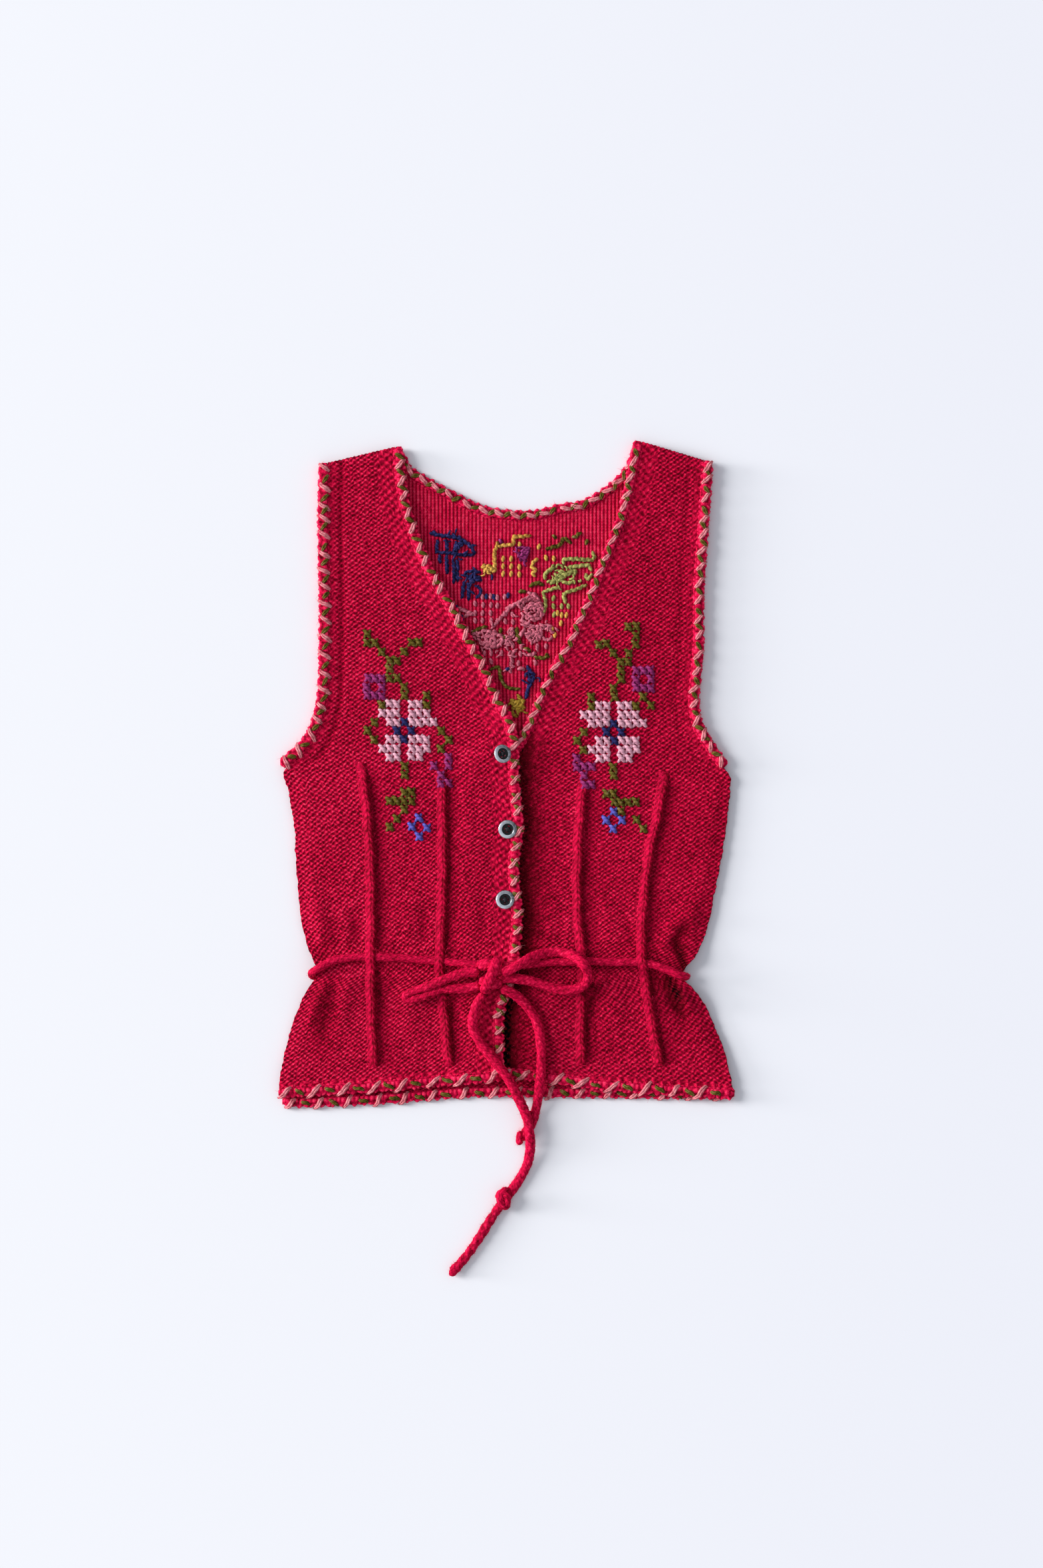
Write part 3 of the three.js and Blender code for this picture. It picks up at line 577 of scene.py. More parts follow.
TIE_PIECES = {  # route, solids, width and height against the cord's own size
    "tie_round": (TIE_ROUND, ["tie_left", "tie_back", "tie_right"], 1.12, 1.0),
    "tie_bow_left": (LOOP_LEFT, ["tie_loop_left"], 1.34, 0.98),
    "tie_bow_right": (LOOP_RIGHT, ["tie_loop_right"], 1.36, 0.98),
    "tie_end_long": (TAIL_LONG, ["tie_tail_long"], 1.36, 0.98),
    "tie_end_short": (TAIL_SHORT, ["tie_tail_short"], 1.34, 0.98),
}
cords = {}
for number, (name, (route, nodes, wide, tall)) in enumerate(TIE_PIECES.items()):
    cords[name] = cord_piece(name, route, nodes, wide, tall, phase=1.3 * number)


# %% [markdown]
# ## Closed tubes
# The knot, the edgings, the ribs and every sewn strand are rings of points, joined one to the next
# and capped. One function gives the faces for any number of rings.

# %% Rings to faces
def ring_faces(rings, sides):
    index = np.arange(rings * sides).reshape(rings, sides)
    after = np.roll(index, -1, axis=1)
    quads = np.stack([index[:-1], after[:-1], after[1:], index[1:]], axis=-1).reshape(-1, 4)
    caps = []
    for k in range(1, sides // 2):
        caps.append([index[0, k], index[0, k - 1], index[0, -k], index[0, -k - 1]])
        caps.append([index[-1, k - 1], index[-1, k], index[-1, -k - 1], index[-1, -k]])
    return np.vstack([quads, caps])


print("faces of a tube of 3 rings of 8 points:", len(ring_faces(3, 8)))


# %% A sewn strand
def strand(points, radius, sides=8, taper=0.55, flat=1.0, ply=3.2, point=3):
    """A two-ply yarn through points: its rings, and crown_shade values that paint its upper side lighter and
    the grooves between its plies darker.
    """
    path = np.asarray(points, float)
    at = np.concatenate([[0], np.cumsum(np.linalg.norm(np.diff(path, axis=0), axis=1))])
    _, up, side = frames_along(path)
    theta = np.linspace(0, 2 * np.pi, sides, endpoint=False)
    t = np.linspace(-1, 1, len(path))
    plies = np.cos(2 * (theta[None, :] - np.pi * at[:, None] / ply))
    size = radius * (1 - (1 - taper) * np.abs(t) ** point)[:, None] * (1 + 0.14 * plies)
    ring = (path[:, None, :] + side[:, None, :] * (size * np.cos(theta))[:, :, None]
            + up[:, None, :] * (flat * size * np.sin(theta))[:, :, None])
    # painted light: the upper side lighter, the grooves between the plies darker
    crown_shade = 0.30 + 0.45 * np.clip(np.sin(theta), 0, 1)[None, :] * (1 - 0.5 * np.abs(t) ** 4)[:, None]
    crown_shade = np.clip(crown_shade + 0.30 * plies, 0, 1)
    return ring.reshape(-1, 3), crown_shade.ravel()


print("points of a short strand:", len(strand([(0, 0, 0), (1, 0, 0), (2, 0, 0)], 0.7)[0]))

# %% The knot and the two end knots
KNOT_WRAPS = [  # short lengths of the cord, over the crossing
    [(-6.4, -145.6, 17), (-7.6, -148.6, 22.4), (-10.4, -155, 25.4), (-13.8, -162.4, 25.2),
     (-16.6, -168.6, 21.8), (-17.6, -172, 17)],
    [(-22.6, -152.4, 18), (-18.6, -150.6, 20.4), (-13, -149.4, 21.4), (-6.6, -152.6, 21), (-3, -157.4, 20)],
    [(-20.6, -160.6, 19), (-15.4, -164.4, 20.4), (-9.4, -165.4, 20.8), (-3.6, -164, 19.6)]]
END_KNOTS = [
    [(1.4, -331, 4.4), (-1.6, -331.4, 6.4), (-4.6, -335, 8), (-4.4, -340.6, 8), (-1, -343.6, 6.4),
     (2, -341, 4.4)],
    [(-6.8, -338.4, 3.8), (-4.4, -333.4, 6), (-0.2, -334.6, 8.2), (0.6, -339.6, 7.4), (-3, -345.4, 5)],
    [(-40.8, -393.6, 3.6), (-42.6, -396.4, 4.6), (-45.4, -398.6, 4.2)],
    [(11.6, -284, 3.4), (10.6, -289, 4.2), (10.2, -295, 3.6)],
    [(19.4, -268, 3.6), (18.4, -271.6, 5.2), (17.4, -275.4, 5.2), (18.2, -279, 3.8)]]


def cord_lumps(name, routes, thick, wide):
    """Short lengths of the cord in one piece."""
    heap = Heap()
    for k, route in enumerate(routes):
        path, at = smooth_path(route, 0.8)
        points, faces, crown_shade = knitted_cord(path, at, thick / 2, wide, 1.0, phase=0.9 * k)
        heap.points.append(points)
        heap.faces += [np.asarray(faces[:-2]) + heap.count]
        heap.values.setdefault("crown_shade", []).append(crown_shade)
        heap.slot.append(np.zeros(len(faces) - 2))
        caps = [[f[0], f[i], f[i + 1]] for f in faces[-2:] for i in range(1, len(f) - 1)]
        heap.faces.append(np.asarray(caps) + heap.count)
        heap.slot.append(np.zeros(len(caps)))
        heap.count += len(points)
    piece = heap.build(name, [CRIMSON_CORD])
    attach(piece, "root")
    print(name, triangles(piece), "triangles")
    return piece


knot = cord_lumps("tie_bow_knot", KNOT_WRAPS, 6.0, 1.45)
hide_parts("tie_knot")
end_knots = cord_lumps("tie_end_knots", END_KNOTS, 5.2, 1.2)

# %% [markdown]
# ## Length of the cord
# Every length leaves the knot. The long way round the waist comes back to it, and so do the bows.

# %% Cord facts
def point(values):
    return tuple(float(v) * MM for v in values)


print("cord in all", round(sum(c[2] for c in cords.values())), "mm")

# %% [markdown]
# ## The stitches
# The purl side of stocking stitch is a brick lattice of small bumps. Seed stitch has one bump to each
# stitch, in every other place, and looks coarser. The knit side shows columns of little Vs. Where a
# point lies in the knitting is stored on the mesh as "stitch": across, up, and how much it is seed
# stitch. The material turns that into the bumps of single yarns, with painted shade in the low places
# between them, and the mesh carries the larger part.

# %% Purl and seed stitch
def wave(tree, value, turns):
    angle = math_node(tree, "MULTIPLY", value, 2 * math.pi * turns)
    return math_node(tree, "COSINE", angle)


# Two slanting waves make the purl bumps: turns a stitch across, turns a row up, share
RISING = (0.591, -0.622, 0.55)
FALLING = (0.483, 0.662, 0.45)

WANDER_SCALE = 170.0      # strays in a metre, so that no two stitches are alike
WANDER = (1.25, 1.1, 0)   # how far they stray, in stitches across and rows up

stitch_group = new_group(
    "purl_and_seed", [("Stitch", "NodeSocketVector", None), ("Band", "NodeSocketVector", None)],
    [("Height", "NodeSocketFloat"), ("Crown Shade", "NodeSocketFloat")])
tree = stitch_group
group_in = node(tree, "NodeGroupInput")
group_out = node(tree, "NodeGroupOutput")
coords = node(tree, "ShaderNodeTexCoord")
wander = node(tree, "ShaderNodeTexNoise", in_Scale=WANDER_SCALE, in_Detail=2.0)
tree.links.new(coords.outputs["Object"], wander.inputs["Vector"])
shift = node(tree, "ShaderNodeVectorMath", operation="SUBTRACT")
shift.inputs[1].default_value = (0.5, 0.5, 0.5)
tree.links.new(wander.outputs["Color"], shift.inputs[0])
scaled = node(tree, "ShaderNodeVectorMath", operation="MULTIPLY")
scaled.inputs[1].default_value = WANDER
tree.links.new(shift.outputs["Vector"], scaled.inputs[0])
moved = node(tree, "ShaderNodeVectorMath", operation="ADD")
tree.links.new(group_in.outputs["Stitch"], moved.inputs[0])
tree.links.new(scaled.outputs["Vector"], moved.inputs[1])
parts = node(tree, "ShaderNodeSeparateXYZ")
tree.links.new(moved.outputs["Vector"], parts.inputs["Vector"])
across, up_rows, seeded = parts.outputs["X"], parts.outputs["Y"], parts.outputs["Z"]
band = node(tree, "ShaderNodeVectorMath", operation="ADD")
tree.links.new(group_in.outputs["Band"], band.inputs[0])
tree.links.new(scaled.outputs["Vector"], band.inputs[1])
band_parts = node(tree, "ShaderNodeSeparateXYZ")
tree.links.new(band.outputs["Vector"], band_parts.inputs["Vector"])
slants = []
for turns_across, turns_up, share in (RISING, FALLING):
    slant = math_node(tree, "ADD", math_node(tree, "MULTIPLY", across, turns_across),
                      math_node(tree, "MULTIPLY", up_rows, turns_up))
    slants.append(math_node(tree, "MULTIPLY", wave(tree, slant, 1), share))
purl = math_node(tree, "ADD", *slants)
seed = math_node(tree, "MULTIPLY", wave(tree, band_parts.outputs["X"], 0.5),
                 wave(tree, band_parts.outputs["Y"], 0.5))
seed = math_node(tree, "ADD", math_node(tree, "MULTIPLY", seed, 0.72), 0.04)
both = node(tree, "ShaderNodeMix", data_type="FLOAT")
tree.links.new(seeded, both.inputs["Factor"])
tree.links.new(purl, both.inputs["A"])
tree.links.new(seed, both.inputs["B"])
height = math_node(tree, "ADD", math_node(tree, "MULTIPLY", both.outputs["Result"], 0.5), 0.5)
tree.links.new(height, group_out.inputs["Height"])
# painted shade: the low places between the bumps are darker
crown_shade = node(tree, "ShaderNodeMapRange")
crown_shade.inputs["From Min"].default_value = 0.10
crown_shade.inputs["From Max"].default_value = 1.0
tree.links.new(height, crown_shade.inputs["Value"])
tree.links.new(crown_shade.outputs["Result"], group_out.inputs["Crown Shade"])
print("purl and seed stitch:", len(stitch_group.nodes), "nodes")

# %% Columns of the knit side
column_group = new_group("stocking_columns", [("Stitch", "NodeSocketVector", None)],
                         [("Height", "NodeSocketFloat"), ("Crown Shade", "NodeSocketFloat")])
tree = column_group
group_in = node(tree, "NodeGroupInput")
group_out = node(tree, "NodeGroupOutput")
parts = node(tree, "ShaderNodeSeparateXYZ")
tree.links.new(group_in.outputs["Stitch"], parts.inputs["Vector"])
legs = math_node(tree, "ABSOLUTE", math_node(
    tree, "SINE", math_node(tree, "MULTIPLY", parts.outputs["X"], math.pi)))
lean = math_node(tree, "ABSOLUTE", math_node(
    tree, "SUBTRACT", math_node(tree, "FRACT", parts.outputs["X"]), 0.5))
links = wave(tree, math_node(tree, "SUBTRACT", parts.outputs["Y"], math_node(tree, "MULTIPLY", lean, 1.4)), 1)
height = math_node(tree, "MULTIPLY", legs, math_node(
    tree, "ADD", math_node(tree, "MULTIPLY", links, 0.16), 0.84))
tree.links.new(height, group_out.inputs["Height"])
# painted shade: the grooves between the columns are darker
crown_shade = node(tree, "ShaderNodeMapRange")
crown_shade.inputs["From Min"].default_value = 0.15
crown_shade.inputs["From Max"].default_value = 0.75
tree.links.new(height, crown_shade.inputs["Value"])
tree.links.new(crown_shade.outputs["Result"], group_out.inputs["Crown Shade"])
print("knit side:", len(column_group.nodes), "nodes")


# %% Knitted cloth materials
def knit(name, group, light, deep, heather=0.6, depth=0.0010):
    """A yarn material with a stitch pattern over its fibres; depth is the bumps', in metres. The pattern's
    painted shade is multiplied with the points' own.
    """
    material = yarn(name, light, deep, heather)
    tree = material.node_tree
    fibre = next(n for n in tree.nodes if n.bl_idname == "ShaderNodeGroup")
    mesh_shade = next(n for n in tree.nodes if n.bl_idname == "ShaderNodeAttribute")
    stitch = node(tree, "ShaderNodeAttribute", attribute_name="stitch")
    pattern = node(tree, "ShaderNodeGroup", node_tree=group)
    tree.links.new(stitch.outputs["Vector"], pattern.inputs["Stitch"])
    if "Band" in pattern.inputs:
        band = node(tree, "ShaderNodeAttribute", attribute_name="band")
        tree.links.new(band.outputs["Vector"], pattern.inputs["Band"])
    # painted shade of the stitches times the painted shade on the points
    crown_shade = math_node(tree, "MULTIPLY", pattern.outputs["Crown Shade"], mesh_shade.outputs["Fac"])
    tree.links.new(crown_shade, fibre.inputs["Crown Shade"])
    relief = node(tree, "ShaderNodeBump", in_Strength=1.0, in_Distance=depth)
    tree.links.new(pattern.outputs["Height"], relief.inputs["Height"])
    fine = next(n for n in tree.nodes if n.bl_idname == "ShaderNodeBump" and n != relief)
    tree.links.new(relief.outputs["Normal"], fine.inputs["Normal"])
    return material


PURL = knit("crimson_purl_wool", stitch_group, (0.765, 0.0036, 0.059), (0.155, 0.0001, 0.008),
            heather=0.62, depth=0.0013)
INSIDE = knit("crimson_knit_wool", column_group, (0.62, 0.0032, 0.048), (0.22, 0.0001, 0.011),
              depth=0.0004)
print(PURL.name, INSIDE.name)

# %% [markdown]
# ## A front
# A front is knitted in straight columns. Under the arm they run from side to middle and close up where
# the tie gathers them. Above it the armhole and the neck cut across them. Points past an edge are
# moved onto it, and what is left without area is dropped.

# %% Grid of a front
STITCH = 3.0
ROW = 2.33
ACROSS, UP = 4, 2   # points to a stitch and to a row
SEED_STITCH, SEED_ROW = 3.4, 2.9
PURL_RELIEF = 0.38
SEED_RELIEF = 0.46
FACE_SINK = 0.25    # the stitches' middle lies this far below the solid's face
RIM = 2.1
NECK_BAND, ARM_BAND, HEM_BAND = 16.5, 11.5, 5.0


def edge_place(table, x, y):
    """Distance from an edge that runs up the vest, square to it, and the distance along it."""
    slope = read(table, y + 0.5) - read(table, y - 0.5)
    levels = np.linspace(table[0][0], table[-1][0], 800)
    steps = np.hypot(np.diff(levels), np.diff(read(table, levels)))
    along = np.interp(y, levels, np.concatenate([[0], np.cumsum(steps)]))
    return np.abs(x - read(table, y)) / np.sqrt(1 + slope**2), along


def front_grid(left, right, hem, shoulder):
    """Points in straight columns; a few rounds settle x and y below the arm together."""
    x_left, x_right = float(read(left, 0)), float(read(right, 0))
    columns = round((x_right - x_left) / STITCH * ACROSS)
    u = np.linspace(0, 1, columns + 1)[:, None]
    low = float(read(hem, (x_left + x_right) / 2))
    body_rows = round(-low / ROW * UP)
    v = np.linspace(0, 1, body_rows + 1)[None, :]
    x = lerp(x_left, x_right, u) + 0 * v
    for _ in range(4):
        y = lerp(read(hem, x), 0, v)
        x = lerp(read(left, y), read(right, y), u)
    top = max(row[1] for row in shoulder)
    y_up = np.arange(1, int(top / ROW * UP) + 2) * ROW / UP
    x = np.hstack([x, lerp(x_left, x_right, u) + 0 * y_up[None, :]])
    y = np.hstack([y, np.broadcast_to(y_up, (columns + 1, len(y_up)))])
    inside = (x > read(left, y) - 1e-6) & (x < read(right, y) + 1e-6) & (y < read(shoulder, x))
    x = np.clip(x, read(left, y), read(right, y))
    y = np.minimum(y, read(shoulder, x))
    s = np.broadcast_to(u * columns / ACROSS, x.shape)
    t = np.broadcast_to(np.arange(x.shape[1])[None, :] / UP, x.shape)
    return x, y, s, t, inside


print("stitches of", STITCH, "by", ROW, "mm,", ACROSS, "by", UP, "points each")


# %% From a grid to a sheet
def corners(grid):
    """The values of a grid at the four corners of each of its quads."""
    return np.stack([grid[:-1, :-1], grid[1:, :-1], grid[1:, 1:], grid[:-1, 1:]], axis=-1)


def compact(points, quads, values):
    """Merge equal points and drop the faces that lose their area."""
    _, first, back = np.unique(np.round(points[:, :2], 3), axis=0, return_index=True, return_inverse=True)
    back = back.ravel()
    faces = []
    for face in back[quads].tolist():
        ring = [v for k, v in enumerate(face) if v != face[k - 1]]
        if len(set(ring)) == len(ring) >= 3:
            faces.append(ring)
    points = points[first]
    flat = points[:, :2]

    def area(ring):
        a = flat[ring]
        b = np.roll(a, -1, axis=0)
        return abs((a[:, 0] * b[:, 1] - a[:, 1] * b[:, 0]).sum()) / 2

    faces = [f for f in faces if len(f) == 4 or area(f) > 1e-3]
    used = np.unique(np.concatenate([np.array(f) for f in faces]))
    renumber = np.full(len(points), -1)
    renumber[used] = np.arange(len(used))
    faces = [renumber[f].tolist() for f in faces]
    return points[used], faces, {key: value[first][used] for key, value in values.items()}


def add_rim(points, faces, values, drop):
    """Turn the border of an open sheet down by a little, as the thickness of the cloth."""
    seen = {}
    for face in faces:
        for k in range(len(face)):
            a, b = face[k - 1], face[k]
            seen[(a, b)] = seen.get((a, b), 0) + 1
    border = [(a, b) for a, b in seen if (b, a) not in seen]
    ring = sorted({a for a, _ in border} | {b for _, b in border})
    lower = {v: len(points) + k for k, v in enumerate(ring)}
    low = points[ring].copy()
    low[:, 2] -= drop
    faces = faces + [[b, a, lower[a], lower[b]] for a, b in border]
    values = {key: np.concatenate([value, value[ring]]) for key, value in values.items()}
    return np.vstack([points, low]), faces, values


def open_sheet(name, x, y, z, inside, values, drop, material):
    """A sheet over that part of a grid which is inside, with its border turned down."""
    index = np.arange(x.size).reshape(x.shape)
    quads = corners(index)[corners(inside).any(axis=-1)]
    points = np.stack([x, y, z], axis=-1).reshape(-1, 3)
    points, faces, values = compact(points, quads, values)
    points, faces, values = add_rim(points, faces, values, drop)
    return make_object(name, points, faces, values, [material])


print("corners of a grid of 3 by 3 points:", corners(np.arange(9).reshape(3, 3)).tolist())


# %% Unevenness of hand work
def unevenness(x, y, seed):
    """A slow hand-made unevenness, from -1 to 1."""
    rng = np.random.default_rng(seed)
    total = np.zeros_like(x)
    for _ in range(9):
        angle, size, phase = rng.uniform(0, np.pi), rng.uniform(9, 34), rng.uniform(0, 2 * np.pi)
        total += np.sin(2 * np.pi * (x * math.cos(angle) + y * math.sin(angle)) / size + phase)
    return total / 4.5


print("unevenness at the origin:", round(float(unevenness(np.zeros(1), np.zeros(1), 1)[0]), 3))

# %% Fine creases that the solids don't carry
CREASES = [  # x, y; x, y; width; height, below 0 for a trough
    (133, -136, 144, -118, 5, -2.2), (138, -150, 122, -132, 4, 1.4), (126, -166, 140, -190, 5, -2.8),
    (112, -170, 114, -190, 4, 1.2), (101, -134, 98, -118, 4, -1.0), (70, -168, 68, -188, 4, -0.9),
    (48, -132, 50, -112, 4, 0.8), (-138, -134, -144, -112, 6, -0.6), (-120, -132, -121, -112, 4, -1.0),
    (-100, -166, -102, -186, 4, -1.0), (-138, -166, -147, -212, 8, -1.3), (-66, -132, -65, -112, 4, -0.8),
    (-40, -168, -42, -190, 4, -0.8), (-92, -130, -90, -112, 4, 0.8), (-20, -130, -19, -112, 4, -0.7)]
PINCHES = [  # painted shade in folds where the tie draws the cloth in: x, y; x, y; width; depth of the painted shade
    (137, -137, 143, -155, 3.6, 1.7), (129, -161, 139, -178, 3.6, 1.7), (-148, -162, -152, -200, 7, 0.3),
    (-146, -146, -148, -134, 4, 0.3), (120, -160, 116, -176, 4, 0.4), (-112, -160, -114, -176, 5, 0.2)]
print("creases:", len(CREASES), "and pinched folds:", len(PINCHES))

# %% Lines of the chain ribs
RIB_LINES = {  # y, x of the middle line
    "rib_1": [(-233, -106), (-188, -108), (-113, -108), (-64, -109), (-15, -113), (12, -118)],
    "rib_2": [(-232, -46), (-188, -50), (-148, -53), (-113, -52), (-64, -51), (9, -52)],
    "rib_3": [(-231, 59), (-188, 59), (-148, 60), (-113, 56.5), (-64, 56.5), (-15, 60), (3, 63)],
    "rib_4": [(-232, 122), (-188, 114), (-148, 108), (-113, 108), (-64, 113), (-27, 121), (4, 126)]}


def rib_swell(x, y):
    """The cloth climbs to each rib from its left and drops on its right."""
    total = np.zeros(np.broadcast(x, y).shape)
    for table in RIB_LINES.values():
        within = smooth((y - table[0][0] + 4) / 12) * smooth((table[-1][0] - y) / 22)
        off = x - read(table, y)
        climb = np.where(off < 0, np.exp(off / 15), np.exp(-((off / 4.5) ** 2)))
        drop = np.exp(-(((off - 9) / 6) ** 2))
        total += within * (1.5 * climb - 0.9 * drop)
    return total * clear_of_tie(x, y)


print("rise of the cloth beside a rib:", round(float(rib_swell(-108, -80)), 2), "mm")

# %% Fronts
SHORT_ROWS = [(240, 0.5), (232, 0.45), (209, 0.35)]  # y of a ridge across the cloth, its height
LAP_DARK_FROM = -158  # y below which the cloth beside the lapping edge gets its deepest painted shade


def rib_marks(ribs, x, y):
    """The dip in the cloth beside each rib, and the painted shade that it throws."""
    dip, shade = np.zeros_like(x), np.zeros_like(x)
    for table in ribs:
        within = smooth((y - table[0][0]) / 6) * smooth((table[-1][0] - y) / 14)
        off = x - read(table, y)
        dip = np.maximum(dip, within * np.exp(-(((off - 5.0) / 1.8) ** 2)))
        shade = np.maximum(shade, within * smooth((off - 2) / 3) * np.exp(-((off - 5) / 9.0) ** 2))
    return dip, shade


def front_piece(name, left, right, hem, shoulder, bottom, centre, side, solid, ribs, arm_groove,
                under_lap, seed):
    """One front: stitches, seed borders, creases, and painted shade, of what lies over it, of its ribs, in
    its grooves, creases and folds, and towards its right.
    """
    x, y, s, t, inside = front_grid(left, right, hem, shoulder)
    s = s + 0.17 * unevenness(x * 2.6, y * 2.6, seed + 60) + 0.09 * unevenness(x * 6, y * 6, seed + 61)
    t = t + 0.17 * unevenness(x * 2.6, y * 2.6, seed + 62) + 0.09 * unevenness(x * 6, y * 6, seed + 63)
    to_centre, along_centre = edge_place(centre, x, y)
    to_side, along_side = edge_place(side, x, y)
    to_hem = y - read(hem, x)
    ragged = 1.6 * unevenness(x * 2.2, y * 2.2, seed + 40)
    neck = smooth((NECK_BAND - to_centre + ragged) / 3.0)
    arm = 0.5 * smooth((ARM_BAND - 4 - to_side) / 2.0) * (y > 4) * (1 - neck)
    hemmed = smooth((HEM_BAND - to_hem) / 0.8) * (1 - neck)
    seeded = np.clip(neck + arm + hemmed, 0, 1)
    stray = 0.30 * unevenness(x * 2.5, y * 2.5, seed + 50) + 0.16 * unevenness(x * 4.5, y * 4.5, seed + 51)
    near_side = (to_side < ARM_BAND) & (neck < 0.01)
    across = np.where(near_side, to_side, to_centre) / SEED_STITCH + stray
    along = np.where(near_side, along_side, along_centre) / SEED_ROW - stray
    purl = sum(share * np.cos(2 * np.pi * (a * s + b * t)) for a, b, share in (RISING, FALLING))
    seed_bumps = np.cos(np.pi * across) * np.cos(np.pi * along)
    relief = lerp(PURL_RELIEF * purl, SEED_RELIEF * seed_bumps, seeded)
    grooves = np.exp(-(((to_side - ARM_BAND) / 2.2) ** 2)) * smooth((y - 2) / 20) * arm_groove
    beside_rib, rib_shade = rib_marks(ribs, x, y)
    ridge = sum(rise * np.exp(-(((y - level) / 1.3) ** 2)) for level, rise in SHORT_ROWS)
    z = bottom(x, y) + CLOTH - FACE_SINK + relief + ridge * (1 - seeded) - 1.1 * grooves - 0.5 * beside_rib
    calm = side_loft(x, y, read(side, y)) * (1 - smooth((9 - to_centre) / 9)) * clear_of_tie(x, y)
    outer = 1 if side is RIGHT_SIDE else -1
    x = x + outer * (0.18 * np.cos(np.pi * t) + 0.35 * ragged) * np.exp(-((to_side / 3.0) ** 2)) * (y < 6)
    to_top = read(shoulder, x) - y
    y = y + 0.3 * np.cos(2 * np.pi * s) * np.exp(-((to_top / 2.5) ** 2)) * (y > 240)
    creased = ridges(CREASES, x, y) * calm
    past = x - read(OVER_CENTRE, y) - EDGE_WIDTH
    # painted shade beside the lapping front's edge, deepening the real shadow of the lift
    lapped_shade = np.exp(-((np.clip(past, 0, None) / 15.0) ** 1.5)) * (1 - smooth((y - 25) / 30)) * under_lap
    z += creased + 0.26 * unevenness(x, y, seed) + rib_swell(x, y)
    # painted shade in the arm groove, beside each rib and in the troughs of the creases, which are also real
    # dips
    crown_shade = (1 - 0.4 * grooves) * (1 - 0.55 * beside_rib) * (1 - 0.34 * np.clip(-creased, 0, 2.2))
    # painted shade: a dark line under each short-row ridge, patchy along it
    short_row_shade = sum(np.exp(-(((y - level + 2.2) / 1.0) ** 2)) for level, _ in SHORT_ROWS)
    patchy = np.clip(0.6 + unevenness(x * 2, y * 0.3, seed + 70), 0, 1)
    crown_shade = crown_shade * (1 - 0.4 * short_row_shade * (1 - seeded) * patchy)
    # painted shade: under the lapping edge, in full below LAP_DARK_FROM, and thrown by the ribs
    crown_shade = crown_shade * (1 - 0.95 * lapped_shade) * (1 - 0.36 * rib_shade)
    crown_shade = crown_shade - 0.9 * lapped_shade**2 - 1.2 * lapped_shade**5 * smooth((LAP_DARK_FROM - y) / 12)
    # painted shade: the deepest crease troughs darker still
    crown_shade = crown_shade - 0.3 * np.clip(-creased - 1.0, 0, 1.5)
    # painted shade in the pinched folds, where the cloth also dips
    pinched = ridges(PINCHES, x, y)
    z -= 1.0 * pinched
    # painted shade: the cloth darker towards the right, away from the lights, and in the pinched folds
    crown_shade = crown_shade * (1.0 - 0.0007 * x) - 1.1 * pinched
    stitch = np.stack([s, t, seeded], axis=-1).reshape(-1, 3)
    band = np.stack([across, along, 0 * s], axis=-1).reshape(-1, 3)
    values = {"stitch": stitch, "band": band, "crown_shade": crown_shade.ravel()}
    piece = open_sheet(name, x, y, z, inside, values, RIM, PURL)
    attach(piece, "root")
    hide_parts(solid)
    print(name, triangles(piece), "triangles")
    return piece


over_knit = front_piece(
    "front_over_knit", LEFT_SIDE, OVER_CENTRE, OVER_HEM, OVER_SHOULDER, over_bottom, OVER_CENTRE,
    LEFT_SIDE, "front_over", [RIB_LINES["rib_1"], RIB_LINES["rib_2"]],
    arm_groove=1.0, under_lap=0.0, seed=3)
under_knit = front_piece(
    "front_under_knit", UNDER_CENTRE, RIGHT_SIDE, UNDER_HEM, UNDER_SHOULDER, under_bottom, UNDER_CENTRE,
    RIGHT_SIDE, "front_under", [RIB_LINES["rib_3"], RIB_LINES["rib_4"]],
    arm_groove=0.35, under_lap=1.0, seed=5)

# %% [markdown]
# ## The back
# The back is a closed wall with the purl side down, on the table. What shows of it through the neck is
# its knit side, so a finer sheet of columns lies on the wall there.

# %% Back wall
BACK_COLUMNS, BACK_ROWS = 78, 130
BACK_SKIN = (0.1, 2.1)  # z of the wall's lower and upper face, over the tuck


def back_edges(y):
    inset = BACK_INSET * (1 - smooth((y + 16) / 14))
    return read(LEFT_SIDE, y) + inset, read(RIGHT_SIDE, y) - inset


def back_grid(columns, rows):
    u = np.linspace(0, 1, columns + 1)[:, None]
    v = np.linspace(0, 1, rows + 1)[None, :]
    x = lerp(-150, 150, u) + 0 * v
    for _ in range(5):
        y = lerp(read(BACK_HEM, x), read(BACK_TOP, x), v)
        x = lerp(*back_edges(y), u)
    return x, y


x, y = back_grid(BACK_COLUMNS, BACK_ROWS)
count = x.size
index = np.arange(count).reshape(x.shape)
quads = corners(index).reshape(-1, 4)
border = np.concatenate([index[:, 0], index[-1, 1:], index[-2::-1, -1], index[0, -2:0:-1]])
after = np.roll(border, -1)
wall = np.stack([border, border + count, after + count, after], axis=-1)
low, high = (np.stack([x, y, tuck(y) + skin], axis=-1).reshape(-1, 3) for skin in BACK_SKIN)
stitch = np.stack([x / STITCH, y / ROW, 0 * x], axis=-1).reshape(-1, 3)
back_faces = np.vstack([quads[:, ::-1], quads + count, wall[:, ::-1]]).tolist()
back_knit = make_object("back_knit", np.vstack([low, high]), back_faces,
                        {"stitch": np.vstack([stitch, stitch]), "crown_shade": np.ones(2 * count)}, [PURL])
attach(back_knit, "root")
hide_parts("back_panel")
print("back_knit", triangles(back_knit), "triangles")


# %% Inside of the back, seen through the neck
LINING_X = (-114, 130)
LINING_Y = (12, 263)
LINING_Z = 2.42


